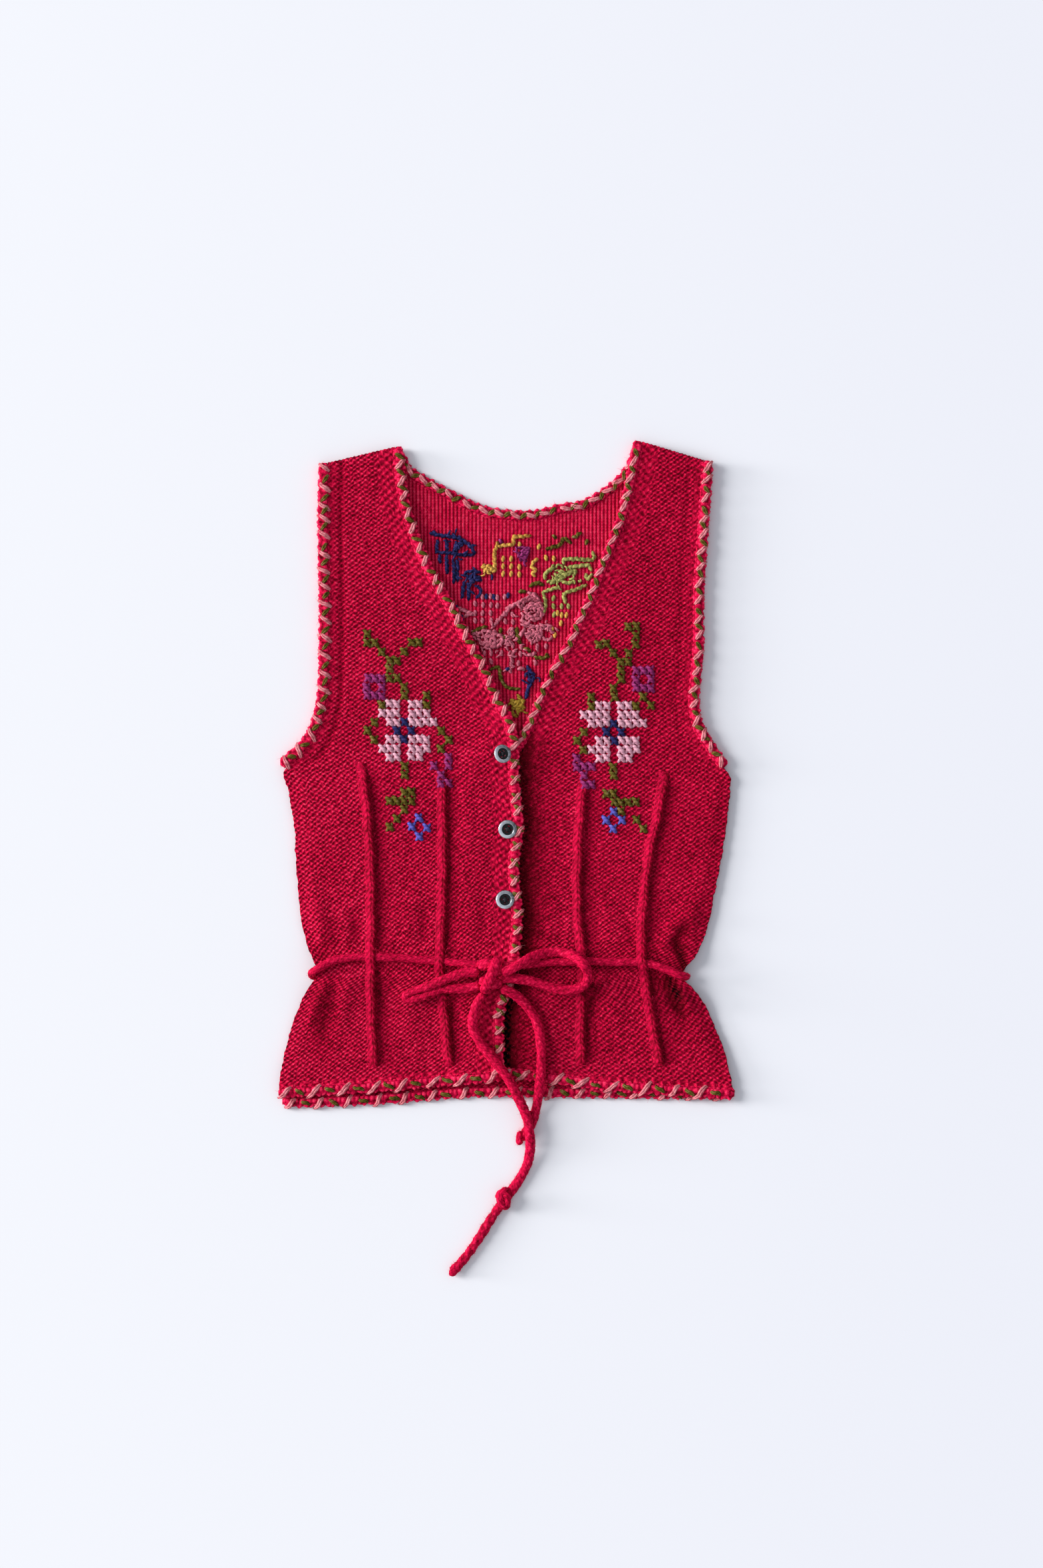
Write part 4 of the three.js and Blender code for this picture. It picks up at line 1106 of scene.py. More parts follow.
def neck_lining():
    columns = round((LINING_X[1] - LINING_X[0]) / STITCH * ACROSS)
    xs = np.linspace(*LINING_X, columns + 1)
    ys = np.arange(*LINING_Y, ROW / UP)
    x, y = np.meshgrid(xs, ys, indexing="ij")
    top = read(BACK_TOP, x)
    between = (x > read(OVER_CENTRE, y) - 9) & (x < read(UNDER_CENTRE, y) + 9) & (y < top)
    s, t = x / STITCH, y / ROW
    yy = np.minimum(y, top)
    seed_zone = (np.abs(x - 12.7) < 50) * smooth((yy - (top - 13)) / 1.5)
    legs = np.abs(np.sin(np.pi * s))
    lean = np.abs(s - np.floor(s) - 0.5)
    links = np.cos(2 * np.pi * (t - 1.4 * lean))
    columns_relief = 0.6 * (legs * (0.84 + 0.16 * links) - 0.6)
    bumps = 0.3 * np.cos(np.pi * s) * np.cos(np.pi * t)
    z = LINING_Z + lerp(columns_relief, bumps, seed_zone) + 0.12 * unevenness(x, yy, 11) + tuck(yy)
    values = {"stitch": np.stack([s, t, seed_zone], axis=-1).reshape(-1, 3), "crown_shade": np.ones(x.size)}
    return open_sheet("back_inside_knit", x, yy, z, between, values, 1.0, INSIDE)


lining = neck_lining()
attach(lining, "root")
print("back_inside_knit", triangles(lining), "triangles")

# %% [markdown]
# ## Crochet edgings
# The edgings follow the borders of the panels. Each is a lumpy band with a scalloped outer side, and
# whip stitches in pink and olive go over it.

# %% Edge lines
STEP_Y = 2.0


def side_line(table, low, high, bottom, inset=None):
    y = np.linspace(low, high, max(3, round(abs(high - low) / STEP_Y) + 1))
    x = read(table, y)
    if inset is not None:
        x = x + inset * BACK_INSET * (1 - smooth((y + 16) / 14))
    return np.column_stack([x, y, bottom(x, y)])


def cross_line(table, low, high, bottom):
    x = np.linspace(low, high, max(3, round(abs(high - low) / STEP_Y) + 1))
    y = read(table, x)
    return np.column_stack([x, y, bottom(x, y)])


print("steps along an edge:", STEP_Y, "mm")

# %% Ten edges
UNDERARM = 5.5
over_hem_y = float(read(OVER_HEM, read(OVER_CENTRE, -236)))
under_hem_y = float(read(UNDER_HEM, read(UNDER_CENTRE, -236)))
over_top = float(read(OVER_SHOULDER, -88.5))
under_top = float(read(UNDER_SHOULDER, 108))
EDGES = {  # line, turn of its outer side (1 is to the left of the line), kind
    "edging_front_over": (side_line(OVER_CENTRE, over_hem_y, over_top, over_bottom), -1, "front"),
    "edging_front_under": (side_line(UNDER_CENTRE, under_hem_y, under_top, under_bottom), 1, "front"),
    "edging_hem_over": (cross_line(OVER_HEM, -182, -4, over_bottom), -1, "hem"),
    "edging_hem_under": (cross_line(UNDER_HEM, -12, 182, under_bottom), -1, "hem"),
    "edging_hem_back": (cross_line(BACK_HEM, -179, 179, back_bottom), -1, "back hem"),
    "edging_armhole_left_front": (side_line(LEFT_SIDE, UNDERARM, 249, over_bottom), 1, "front"),
    "edging_armhole_right_front": (side_line(RIGHT_SIDE, UNDERARM, 251, under_bottom), -1, "front"),
    "edging_armhole_left_back": (side_line(LEFT_SIDE, UNDERARM, 248, back_bottom, 1), 1, "back"),
    "edging_armhole_right_back": (side_line(RIGHT_SIDE, UNDERARM, 250, back_bottom, -1), -1, "back"),
    "edging_neck_back": (cross_line(BACK_TOP, NECK_FROM, NECK_TO, back_bottom), 1, "neck"),
}


def even_line(line, step):
    """The line at even steps, softened, and the distance along it."""
    along = np.concatenate([[0], np.cumsum(np.hypot(*np.diff(line[:, :2], axis=0).T))])
    at = np.linspace(0, along[-1], max(3, round(along[-1] / step) + 1))
    path = np.column_stack([np.interp(at, along, line[:, k]) for k in range(3)])
    for _ in range(6):
        path[1:-1] = (path[:-2] + 2 * path[1:-1] + path[2:]) / 4
    return path, at


def outward(path, turn):
    """Directions square to the line, towards its outer side."""
    run = np.gradient(path[:, :2], axis=0)
    run /= np.linalg.norm(run, axis=1)[:, None]
    return np.column_stack([-turn * run[:, 1], turn * run[:, 0]])


for name, (line, _, _) in EDGES.items():
    print(name, round(float(even_line(line, STEP_Y)[1][-1])), "mm")


# %% Lumpy bands
EDGE_SIDES = 15
EDGE_STEP = 0.95
SCALLOP_STEP = 8.4
SCALLOP_DEEP = 1.4
BOBBLE = 4.2
EDGE_FROM, EDGE_TO = -1.6, 7.6  # how far the band reaches, square to the edge


def edging_mesh(line, turn, kind, seed):
    """A closed band along an edge, of bobbles in rows, with a scalloped outer side."""
    path, at = even_line(line, EDGE_STEP)
    out = outward(path, turn)
    theta = np.linspace(0, 2 * np.pi, EDGE_SIDES, endpoint=False)
    scallop = 0.5 + 0.5 * np.cos(2 * np.pi * at / SCALLOP_STEP + seed + 0.9 * np.sin(at / 9 + seed))
    reach = EDGE_TO - SCALLOP_DEEP * scallop
    middle, half = (reach + EDGE_FROM) / 2, (reach - EDGE_FROM) / 2
    rows = np.floor(theta / (2 * np.pi) * 5)
    wander = 0.22 * np.sin(at / 5.3 + seed) + 0.16 * np.sin(at / 2.9 + 2 * seed)
    knob = np.abs(np.sin(np.pi * (at[:, None] / BOBBLE + wander[:, None] + 0.5 * rows[None, :])))
    row_shape = np.abs(np.sin(2.5 * theta))
    lump = knob**0.7 * (0.35 + 0.65 * row_shape[None, :] ** 0.6) - 0.5
    lump += 0.12 * np.sin(at / 1.7 + seed)[:, None] * np.cos(theta + seed)[None, :]
    drop = 0 if kind in ("back", "neck", "back hem") else 0.2
    low = path[:, 2] - drop
    thick = EDGE_THICK + 0.3
    c, s = np.cos(theta), np.sin(theta)
    a = middle[:, None] + half[:, None] * (np.sign(c) * np.abs(c) ** 0.8)[None, :]
    b = thick / 2 * (1 + (np.sign(s) * np.abs(s) ** 0.75)[None, :]) + 0 * a
    grow = 1.35 * lump
    ends = 0.5 + 0.5 * smooth(np.minimum(at, at[-1] - at) / 3.5)[:, None]
    a = middle[:, None] + (a - middle[:, None] + grow * c[None, :]) * ends
    b = np.maximum((b + grow * np.clip(s, 0, 1)[None, :]) * ends, 0.02)
    points = np.stack([path[:, None, 0] + out[:, None, 0] * a, path[:, None, 1] + out[:, None, 1] * a,
                       low[:, None] + b], axis=-1)
    if turn > 0:
        points = points[:, ::-1]
        lump = lump[:, ::-1]
    # painted shade: the bobbles' tops lighter, the lows between them darker
    crown_shade = np.clip(0.56 + 1.1 * lump, 0.0, 1.0)
    return points.reshape(-1, 3), ring_faces(len(at), EDGE_SIDES), crown_shade.ravel()


edging_pieces = {}
for number, (name, (line, turn, kind)) in enumerate(EDGES.items()):
    points, faces, crown_shade = edging_mesh(line, turn, kind, 20 + number)
    piece = make_object(name.replace("edging", "crochet"), points, faces.tolist(), {"crown_shade": crown_shade},
                        [CRIMSON_EDGE])
    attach(piece, "root")
    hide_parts(name)
    edging_pieces[name] = piece
print("edgings:", sum(triangles(p) for p in edging_pieces.values()), "triangles")

# %% [markdown]
# ## Whip stitches
# Long pink stitches lean one way over an edge, and short olive ones sit between them.

# %% Whip stitches over the edges
def whip_strand(heap, place, out, base, angle, length, radius, slot, across, bend):
    """One stitch of two plies, over the edge and down into the cloth at both ends."""
    direction = np.array([math.cos(math.radians(angle)), math.sin(math.radians(angle))])
    t = np.linspace(-1, 1, 7)
    square = np.array([-direction[1], direction[0]])
    flat = (place + out * across + t[:, None] * direction * length / 2
            + bend * np.sin(np.pi * t)[:, None] * square)
    over = (flat - place) @ out
    top = base + 2.5 + 1.35 * smooth((over + 1.5) / 2.5) * (1 - smooth((over - 6.0) / 3.0))
    z = top + 0.2 - 2.4 * smooth((np.abs(t) - 0.62) / 0.38)
    for side in (-1, 1):
        ply = flat + side * 0.5 * radius * (1 - 0.6 * t**2)[:, None] * square
        points, crown_shade = strand(np.column_stack([ply, z]), 0.66 * radius, sides=7, taper=0.4, ply=6, point=2)
        heap.add(points, ring_faces(len(t), 7), {"crown_shade": crown_shade}, slot)


print("yarns of the whip stitches:", PINK.name, "and", OLIVE.name)

# %% Rhythm of the whip stitches
WHIP = {  # pitch; pink lean off the edge's own direction, length; olive the same; place; lean's drift
    "edging_front_over": (13.6, -45, 11.5, 48, 9.0, 3.2, -0.15),
    "edging_front_under": (13.6, -30, 11.5, 40, 8.0, 3.2, -0.1),
    "edging_hem_over": (22.8, 36, 16.0, 144, 10.5, 2.8, 0),
    "edging_hem_under": (22.8, 36, 16.0, 144, 10.5, 2.8, 0),
    "edging_hem_back": (22.8, 40, 13.5, 142, 9.5, 3.4, 0),
    "edging_armhole_left_front": (13.6, 55, 12.5, -42, 9.0, 1.6, 0),
    "edging_armhole_right_front": (13.6, -43, 11.5, 30, 8.0, 3.0, 0),
    "edging_armhole_left_back": (13.6, 55, 9.5, -42, 7.0, 3.6, 0),
    "edging_armhole_right_back": (13.6, -43, 9.5, 30, 6.5, 3.6, 0),
    "edging_neck_back": (13.6, -25, 12, 35, 8.5, 2.8, 0),
}


def whips(name, seed):
    line, turn, _ = EDGES[name]
    pitch, pink_lean, pink_long, olive_lean, olive_long, across, drift = WHIP[name]
    path, at = even_line(line, 0.8)
    out = outward(path, turn)
    run = np.gradient(path[:, :2], axis=0)
    heading = np.degrees(np.arctan2(run[:, 1], run[:, 0]))
    rng = np.random.default_rng(seed)
    heap = Heap()
    for start in np.arange(pitch * 0.35, at[-1] - 3, pitch):
        start += rng.normal(0, 0.1 * pitch)
        i = min(int(np.searchsorted(at, start)), len(at) - 1)
        crossed = name == "edging_front_over" and path[i, 1] < 20
        for part, colour in ((0.0, 0), (0.14 if crossed else 0.5, 1)):
            where = start + part * pitch + rng.normal(0, 0.3)
            if where > at[-1] - 2:
                continue
            i = min(int(np.searchsorted(at, where)), len(at) - 1)
            lean, long_ = (pink_lean, pink_long) if colour == 0 else (olive_lean, olive_long)
            lean += heading[i] + drift * (heading[i] - 90) + rng.normal(0, 5)
            whip_strand(heap, path[i, :2], out[i], path[i, 2], lean, long_ * rng.uniform(0.88, 1.12),
                        rng.uniform(1.5, 1.85) if colour == 0 else rng.uniform(1.3, 1.6), colour,
                        across + rng.normal(0, 0.3), (0.9 if "hem" in name else 0.3) * rng.uniform(0.3, 1.5))
    piece = heap.build(name.replace("edging", "whip"), [PINK, OLIVE])
    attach(piece, "root")
    return piece


whip_pieces = {name: whips(name, 60 + n) for n, name in enumerate(WHIP)}
print("whip stitches:", sum(triangles(p) for p in whip_pieces.values()), "triangles")

# %% [markdown]
# ## Chain ribs
# Four crocheted chains run up the fronts and cross over the tie.

# %% Ribs
RIB_WIDTH, RIB_HEIGHT = 8.2, 1.45
RIB_STEP = 0.8
LINK = 5.0


def rib_piece(name, table, bottom):
    """A chain along its table's line, lying on the cloth and over the tie."""
    y = np.arange(table[0][0], table[-1][0], RIB_STEP)
    x = read(table, y)
    top = bottom(x, y) + CLOTH - FACE_SINK + ridges(CREASES, x, y) * 0.8 + rib_swell(x, y)
    tie_y = float(read(TIE_LINE, read(table, WAIST_Y + 12)))
    tie_top = float(bottom(read(table, tie_y), tie_y)) + CLOTH + GAP + CORD
    arch = tie_top + 0.5 - 2.6 * (np.abs(y - tie_y) / 6) ** 1.5
    base = np.maximum(top, arch)
    for _ in range(8):
        base[1:-1] = np.maximum(base[1:-1], (base[:-2] + base[2:]) / 2 - 0.02)
    u = np.concatenate([np.linspace(-1, 1, 17), [0.5, -0.5]])
    upper = np.arange(len(u)) < 17
    fall = np.sqrt(np.clip(1 - (np.clip(u - 0.35, 0, 1) / 0.65) ** 2, 0, 1))
    profile = np.where(upper, smooth((u + 1) / 1.35) * fall, 0)
    groove = np.exp(-(((u - 0.18) / 0.13) ** 2)) * upper
    sway = 0.35 * np.sin(2 * np.pi * y / 31 + table[0][1]) + 0.2 * np.sin(2 * np.pi * y / 13)
    link = np.cos(2 * np.pi * (y[:, None] / LINK + 1.15 * np.abs(u - 0.18)[None, :]))
    bulge = np.clip(1 - u**2, 0, 1) ** 0.5 * upper
    height = RIB_HEIGHT * profile[None, :] + 0.13 * link * bulge[None, :] - 0.4 * groove[None, :]
    ends = smooth(np.minimum(y - y[0], (y[-1] - y) / 8) / 3)[:, None]
    half = RIB_WIDTH / 2 * (0.98 + 0.03 * link)
    points = np.stack([(x + sway)[:, None] + half * u[None, :], y[:, None] + 0 * height,
                       base[:, None] - 0.35 * (1 - upper)[None, :] + height * (0.1 + 0.9 * ends)], axis=-1)
    points = points[:, ::-1]
    # painted shade: darker in the links' hollows, in the groove and down the right side, away from the light
    crown_shade = 0.40 + 0.20 * link - 0.30 * groove[None, :] - 0.40 * smooth((u - 0.1) / 0.8)[None, :]
    crown_shade = np.clip(crown_shade, 0.02, 1)
    piece = make_object(name + "_chain", points.reshape(-1, 3), ring_faces(len(y), len(u)).tolist(),
                        {"crown_shade": crown_shade[:, ::-1].ravel()}, [CRIMSON_CORD])
    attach(piece, "root")
    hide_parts(name)
    return piece


rib_pieces = {}
for name, table in RIB_LINES.items():
    rib_pieces[name] = rib_piece(name, table, over_bottom if table[0][1] < 0 else under_bottom)
print("ribs:", sum(triangles(p) for p in rib_pieces.values()), "triangles")


# %% [markdown]
# ## Cross-stitch flowers
# Each front has a spray: a branch over a large pink flower, small purple and blue ones beside it, and
# leaves. It is charted by hand in cells of one cross, the right front's in mirror image with changes.
# Each front has a spray: a branch over a large pink flower, small purple and blue ones beside it, and
# leaves. It is charted in cells of one cross, the right front's in mirror image with changes.

# %% Charts
CELL_WIDE, CELL_TALL = 5.9, 7.0
LEFT_CHART = [
    "G...........",
    "GG....GG....",
    "..G..G......",
    "...GG.......",
    "...G........",
    "UUUGG.......",
    "U.U..G......",
    "UUU..G..G...",
    "..GPP.PPG...",
    "..PPP.PPP...",
    ".G.PPNPPPP..",
    "G...N.N...G.",
    ".G.PPNPPP..G",
    "..PPP.PPP.G.",
    "...PP.PP...U",
    ".....G...U.U",
    ".....G....U.",
    "..........UU",
    ".....GG.....",
    "...GGGG.....",
    ".....G......",
    "....G..B....",
    "...G..B.B...",
    ".......B....",
]
RIGHT_CHART = [
    ".......GG...",
    "........G...",
    "...GG...G...",
    ".....G.G....",
    "......GG....",
    "......G.UUU.",
    "......G.U.U.",
    ".....G..UUU.",
    "..G..G...G..",
    "..GPP.PPG.G.",
    ".PPPP.PPP...",
    "..PPPNPPPP..",
    ".G..N.N.....",
    "G..PPNPPP...",
    ".GPPP.PPP...",
    "U..PP.PP....",
    "UUU..G......",
    ".U...G......",
    ".UU.........",
    "....GG......",
    ".....GGGG...",
    ".....BG.....",
    "....B.B.G...",
    ".....B...G..",
]
SPRAYS = [  # chart, x of its first column, y of its first row
    (LEFT_CHART, -111.0, 112.5), (RIGHT_CHART, 56.0, 118.5)]
STITCH_YARNS = {"G": OLIVE, "U": PURPLE, "P": PALE_PINK, "N": NAVY, "B": BLUE}
for letter, colour in STITCH_YARNS.items():
    print(colour.name, "".join(LEFT_CHART + RIGHT_CHART).count(letter), "crosses")


# %% Crosses
def cross(heap, x, y, ground, slot, rng):
    """Two short strands, one over the other, sunk into the cloth at their ends."""
    for over, lean in ((0, 1), (1, -1)):
        t = np.linspace(-1, 1, 8)
        wide = CELL_WIDE / 2 * rng.uniform(0.90, 1.04)
        tall = CELL_TALL / 2 * rng.uniform(0.86, 1.0)
        px = x + t * wide * lean + rng.normal(0, 0.15)
        py = y + t * tall + rng.normal(0, 0.15)
        z = ground(px, py) + 0.1 + (0.5 + 0.7 * over) * (1 - t**2) - 0.9 * np.abs(t) ** 6
        thick = (1.35 + 0.4 * over) * rng.uniform(0.92, 1.08)
        points, crown_shade = strand(np.column_stack([px, py, z]), thick, sides=7, taper=0.72, flat=0.62)
        heap.add(points, ring_faces(len(t), 7), {"crown_shade": crown_shade}, slot)


def spray(name, chart, left, top, bottom, seed):
    heap = Heap()
    rng = np.random.default_rng(seed)
    letters = list(STITCH_YARNS)
    for row, line in enumerate(chart):
        for column, letter in enumerate(line):
            if letter == ".":
                continue
            x = left + column * CELL_WIDE + rng.normal(0, 0.25)
            y = top - row * CELL_TALL + rng.normal(0, 0.3)
            cross(heap, x, y, lambda a, b: bottom(a, b) + CLOTH + rib_swell(a, b), letters.index(letter), rng)
    piece = heap.build(name, list(STITCH_YARNS.values()))
    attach(piece, "root")
    print(name, triangles(piece), "triangles")
    return piece


spray_left = spray("spray_left", *SPRAYS[0], over_bottom, 71)
spray_right = spray("spray_right", *SPRAYS[1], under_bottom, 72)

# %% [markdown]
# ## Wrong side of the back's embroidery
# Through the neck the back's own embroidery shows from behind: short upright stitches, knotted
# patches and threads carried across. They are set down as lines of yarn and single stitches.

# %% Lines of thread on the inside of the back
FLOATS = {  # yarn: lines of x, y on the inside of the back
    "navy": [
        [(-60.9, 193.2), (-53.4, 191.6), (-42.6, 190), (-32.8, 186.2), (-27.4, 180.8), (-25.2, 177)],
        [(-56.6, 178.1), (-42.6, 177), (-33.9, 175.7), (-25.2, 176.1)], [(-55, 187.8), (-55.7, 178.1)],
        [(-48, 187.8), (-47.4, 178.1)], [(-58.8, 194.3), (-54.4, 191.1)],
        [(-40.4, 186.7), (-39.3, 178.1)], [(-42.6, 178.1), (-38.2, 184.6), (-32.8, 185.7)],
        [(-39.8, 171.6), (-38.8, 162.9)], [(-48, 175.7), (-47.1, 160.8)],
        [(-53.4, 175.7), (-52.9, 169.4)], [(-39.3, 162.9), (-39.1, 154.3)],
        [(-33.9, 161.3), (-27.4, 162.9), (-20.9, 161.7)], [(-28.5, 156.5), (-19.8, 155.2)],
        [(-32.3, 159.7), (-27.4, 155.4), (-24.2, 158.6), (-20.4, 156.5)],
        [(-33.9, 154.3), (-35.5, 141.3)], [(-30.7, 153.2), (-30.1, 140.2)],
        [(-23.1, 151.1), (-20.4, 146.2), (-24.2, 141.3)], [(-42.6, 171.6), (-42, 153.2)],
        [(-42.6, 135.3), (-39.3, 134.8)], [(-39.3, 128.3), (-34.4, 124)],
        [(-38.8, 124.6), (-35.5, 127.8)], [(16.4, 87.2), (19.1, 82.9), (22.9, 79.7)],
        [(16.9, 81.8), (20.2, 74.3), (22.3, 80.7)], [(16.9, 76.4), (21.3, 75.3)],
        [(19.6, 73.2), (16.4, 67.8)], [(16.9, 68.8), (15.6, 61.3)], [(-0.4, 84.5), (2.3, 84.9)],
    ],
    "yellow": [
        [(-19.8, 165.7), (-14.4, 166.7), (-10.6, 164.9), (-14.4, 163.5), (-18.2, 165.3)],
        [(-14.4, 166), (-10.1, 162.4), (-9.5, 171.6), (-9.6, 178.1), (-7.7, 182.4), (-7.4, 186.2)],
        [(-7.4, 182.4), (-1.5, 183.5), (5.3, 184.8), (5.6, 190), (11.5, 190.5), (19.6, 191.3)],
        [(21.8, 169.4), (20.2, 166.2), (23.4, 164), (20.7, 160.8), (22.9, 159.2)],
        [(20.2, 168.4), (25, 172.7)],
    ],
    "purple": [
        [(8.8, 181.9), (18, 180.8), (11.5, 178.6), (18, 178.1), (11.5, 175.7), (16.9, 173.8),
        (10.4, 172.5), (16.4, 171.1)], [(-5.8, 187.8), (-3.1, 185.4)],
    ],
    "olive": [
        [(32.1, 180.3), (36.4, 181.9), (42.9, 184), (45.3, 188.9), (48.3, 187.8), (51.8, 185.1)],
        [(52.6, 189.8), (56.4, 191.3), (59.3, 194.1)], [(36.9, 191.3), (39.9, 190)],
        [(19.1, 151.1), (24, 153.4), (29, 152.3)], [(9.9, 146.7), (15, 146.9)],
        [(-27.4, 113.7), (-22, 117), (-15.5, 118.8)], [(14.2, 101.3), (19.3, 98.9)],
        [(22.3, 94.6), (27.8, 93.5), (33.7, 94.8)], [(-5.8, 115.9), (-3.6, 115.1)],
        [(-2.7, 111), (-0.4, 109.4)], [(7.7, 116.4), (8.8, 112.1), (11, 104.5)],
        [(-13.3, 84), (-6.6, 86.2), (-4.2, 76.4), (0.7, 70.1), (10.7, 68.6)],
        [(31.5, 97), (33.2, 94.8)],
    ],
    "lime": [
        [(30.5, 156.5), (31.5, 161.3), (38.6, 166.2)],
        [(32.1, 154.3), (42.9, 155.6), (48.3, 153.2), (54.8, 154.5)],
        [(38, 160.8), (44.5, 158.1), (49.4, 161.3), (54.8, 163.5), (53.7, 158.6)],
        [(29.9, 146.7), (34.2, 147.8), (41.8, 150.2)],
        [(29, 146.2), (31.2, 137), (29, 129.4), (26.7, 130.5)],
        [(45.3, 142.9), (47.2, 145.6), (54.3, 147.8), (64.5, 152.1)],
        [(46.1, 168.4), (45.3, 171.6), (54.8, 172.5), (69.9, 172.7), (68.9, 178.1)],
        [(49.4, 166), (57, 166.7), (65.6, 167.3), (67.8, 162.9)], [(39.6, 157.5), (35.3, 153.2)],
        [(47.2, 139.2), (45.6, 145.1)], [(63.4, 160.8), (64.5, 156.5), (68.9, 160.8)],
        [(41.8, 162.9), (46.1, 160.2), (51.5, 160.8)],
    ],
    "rose": [
        [(-11.7, 117), (-7.9, 121.8), (-1.5, 129.4), (4.5, 134.8), (10.4, 138.1), (16.9, 141.9),
        (22.3, 143.5)], [(-0.4, 133.2), (7.2, 136.4), (13.7, 139.2)],
        [(11.5, 129.4), (15.9, 126.2), (22.3, 124), (27.8, 126.7), (28.8, 132.7), (25.6, 138.1),
        (19.1, 140.2), (13.2, 137), (11.5, 131.6)],
        [(14.8, 130.5), (19.1, 126.7), (24.5, 128.3), (25.6, 133.7), (21.3, 137), (16.4, 134.8)],
        [(11.5, 124), (16.9, 120.8), (22.3, 117.5)], [(16.9, 145.6), (22.3, 144), (26.7, 139.2)],
        [(-39.3, 133.7), (-33.9, 131.6), (-26.3, 128.3)], [(-33.4, 126.7), (-26.3, 129.4)],
        [(-23.1, 112.1), (-17.7, 115.4), (-10.1, 113.2), (-3.6, 110), (-5.8, 103.5), (-13.3, 102.4),
        (-19.8, 105.6), (-23.1, 110)],
        [(-19.8, 110), (-14.4, 111), (-9, 107.8), (-11.2, 104.5), (-16.6, 106.7)],
        [(-14.4, 113.2), (-16.6, 106.7), (-10.1, 103.5), (-5.8, 108.9)],
        [(0.7, 114.3), (5, 117.5), (4, 111), (0.7, 106.7), (5, 103.5)],
        [(16.9, 114.3), (20.2, 118.6), (26.7, 117.5), (27.2, 111), (21.3, 106.7), (16.9, 110)],
        [(19.1, 112.1), (24.5, 113.2), (25.6, 108.9)], [(18, 108.9), (14.8, 112.1)],
        [(28.8, 118.6), (34.2, 119.7), (36.4, 114.3)], [(28.8, 110), (33.2, 107.8), (36.4, 111)],
        [(7.2, 108.9), (11.5, 112.1), (14.8, 117.5)], [(16.9, 95.9), (23.4, 97.5)],
        [(9.4, 85.1), (14.8, 84.5)], [(22.3, 91.6), (22.9, 87.8)],
    ],
    "mustard": [
        [(3.4, 60.2), (8.3, 58.6), (13.2, 59.7), (11.5, 55.3), (7.2, 53.7), (4.5, 58), (10.4, 57),
        (12.6, 52.6), (9.4, 50.5)], [(-0.4, 51.8), (4, 49.9), (8.5, 46.7)],
    ],
}
print("lines of thread:", sum(map(len, FLOATS.values())))

# %% Single stitches and tangles on the inside of the back
DASHES = {  # yarn: x, y of single upright stitches
    "rose": [
        (-25.2, 137), (-19.3, 142.4), (-18.8, 135.9), (-19.3, 129.4), (-19.3, 123.5), (-12.8, 142.9),
        (-12.5, 135.9), (-12.8, 129.4), (-12.3, 123.5), (-7.4, 141.9), (-7.4, 135.4), (-1.5, 142.4),
        (-0.4, 129.4), (4.7, 128.3), (-1.1, 122.9), (5, 122.4), (-25.2, 129.4), (-25.2, 123.5),
        (-7.4, 122.9), (-12.3, 97.5), (-12.3, 91), (-4.2, 97.5), (5, 97.5), (11, 97), (5, 103.5),
        (11.5, 102.4), (4.3, 91.6), (9.4, 89.4), (24.7, 102.9), (31.5, 102.9), (2.9, 83.8),
        (-17.7, 97.5),
    ],
    "navy": [
        (-16.1, 142.7), (-10.1, 142.2), (1.3, 143.5),
    ],
    "yellow": [
        (-2.7, 172.7), (-2.7, 166.7), (-2.7, 160.8), (3.7, 172.7), (3.7, 166.7), (3.7, 160.8),
        (10.4, 184), (10.2, 166.2), (10.2, 160.2), (25.8, 182.4), (31.5, 173.5), (37.7, 172.9),
        (40.7, 129.4), (44, 127.8), (47.8, 127.8), (38.6, 111.9), (36.4, 116.2), (43.4, 121.3),
    ],
    "lime": [
        (37.5, 141.3), (37.5, 134.8), (44, 134.8), (46.7, 139.2), (49.4, 134.8), (38, 128.3),
    ],
    "olive": [
        (-4.7, 115.4), (8.3, 115.9), (64, 186.2),
    ],
}
TANGLES = [  # yarn, x, y, size, how many short curled lengths
    ("rose", 19, 132, 9, 46), ("rose", -14, 108, 10, 50), ("rose", 21, 112, 9, 40), ("rose", 2, 110, 7, 26),
    ("rose", 33, 116, 6, 18), ("rose", 5, 98, 9, 20), ("mustard", 9, 55, 6, 22), ("navy", -38, 181, 12, 26),
    ("navy", -27, 158, 9, 24), ("navy", 19, 76, 6, 14), ("lime", 46, 160, 11, 30),
    ("yellow", -15, 165, 4, 10), ("purple", 13, 176, 6, 18)]
FLOAT_YARNS = {"navy": NAVY, "yellow": YELLOW, "purple": PURPLE, "olive": OLIVE, "lime": LIME, "rose": ROSE,
               "mustard": MUSTARD}
print("single stitches:", sum(map(len, DASHES.values())), "and tangles:", len(TANGLES))


# %% Threads on the inside
THREAD_Z = 3.15   # a carried thread's middle, on the lining
DASH_Z = 3.3
TANGLE_Z = 3.4


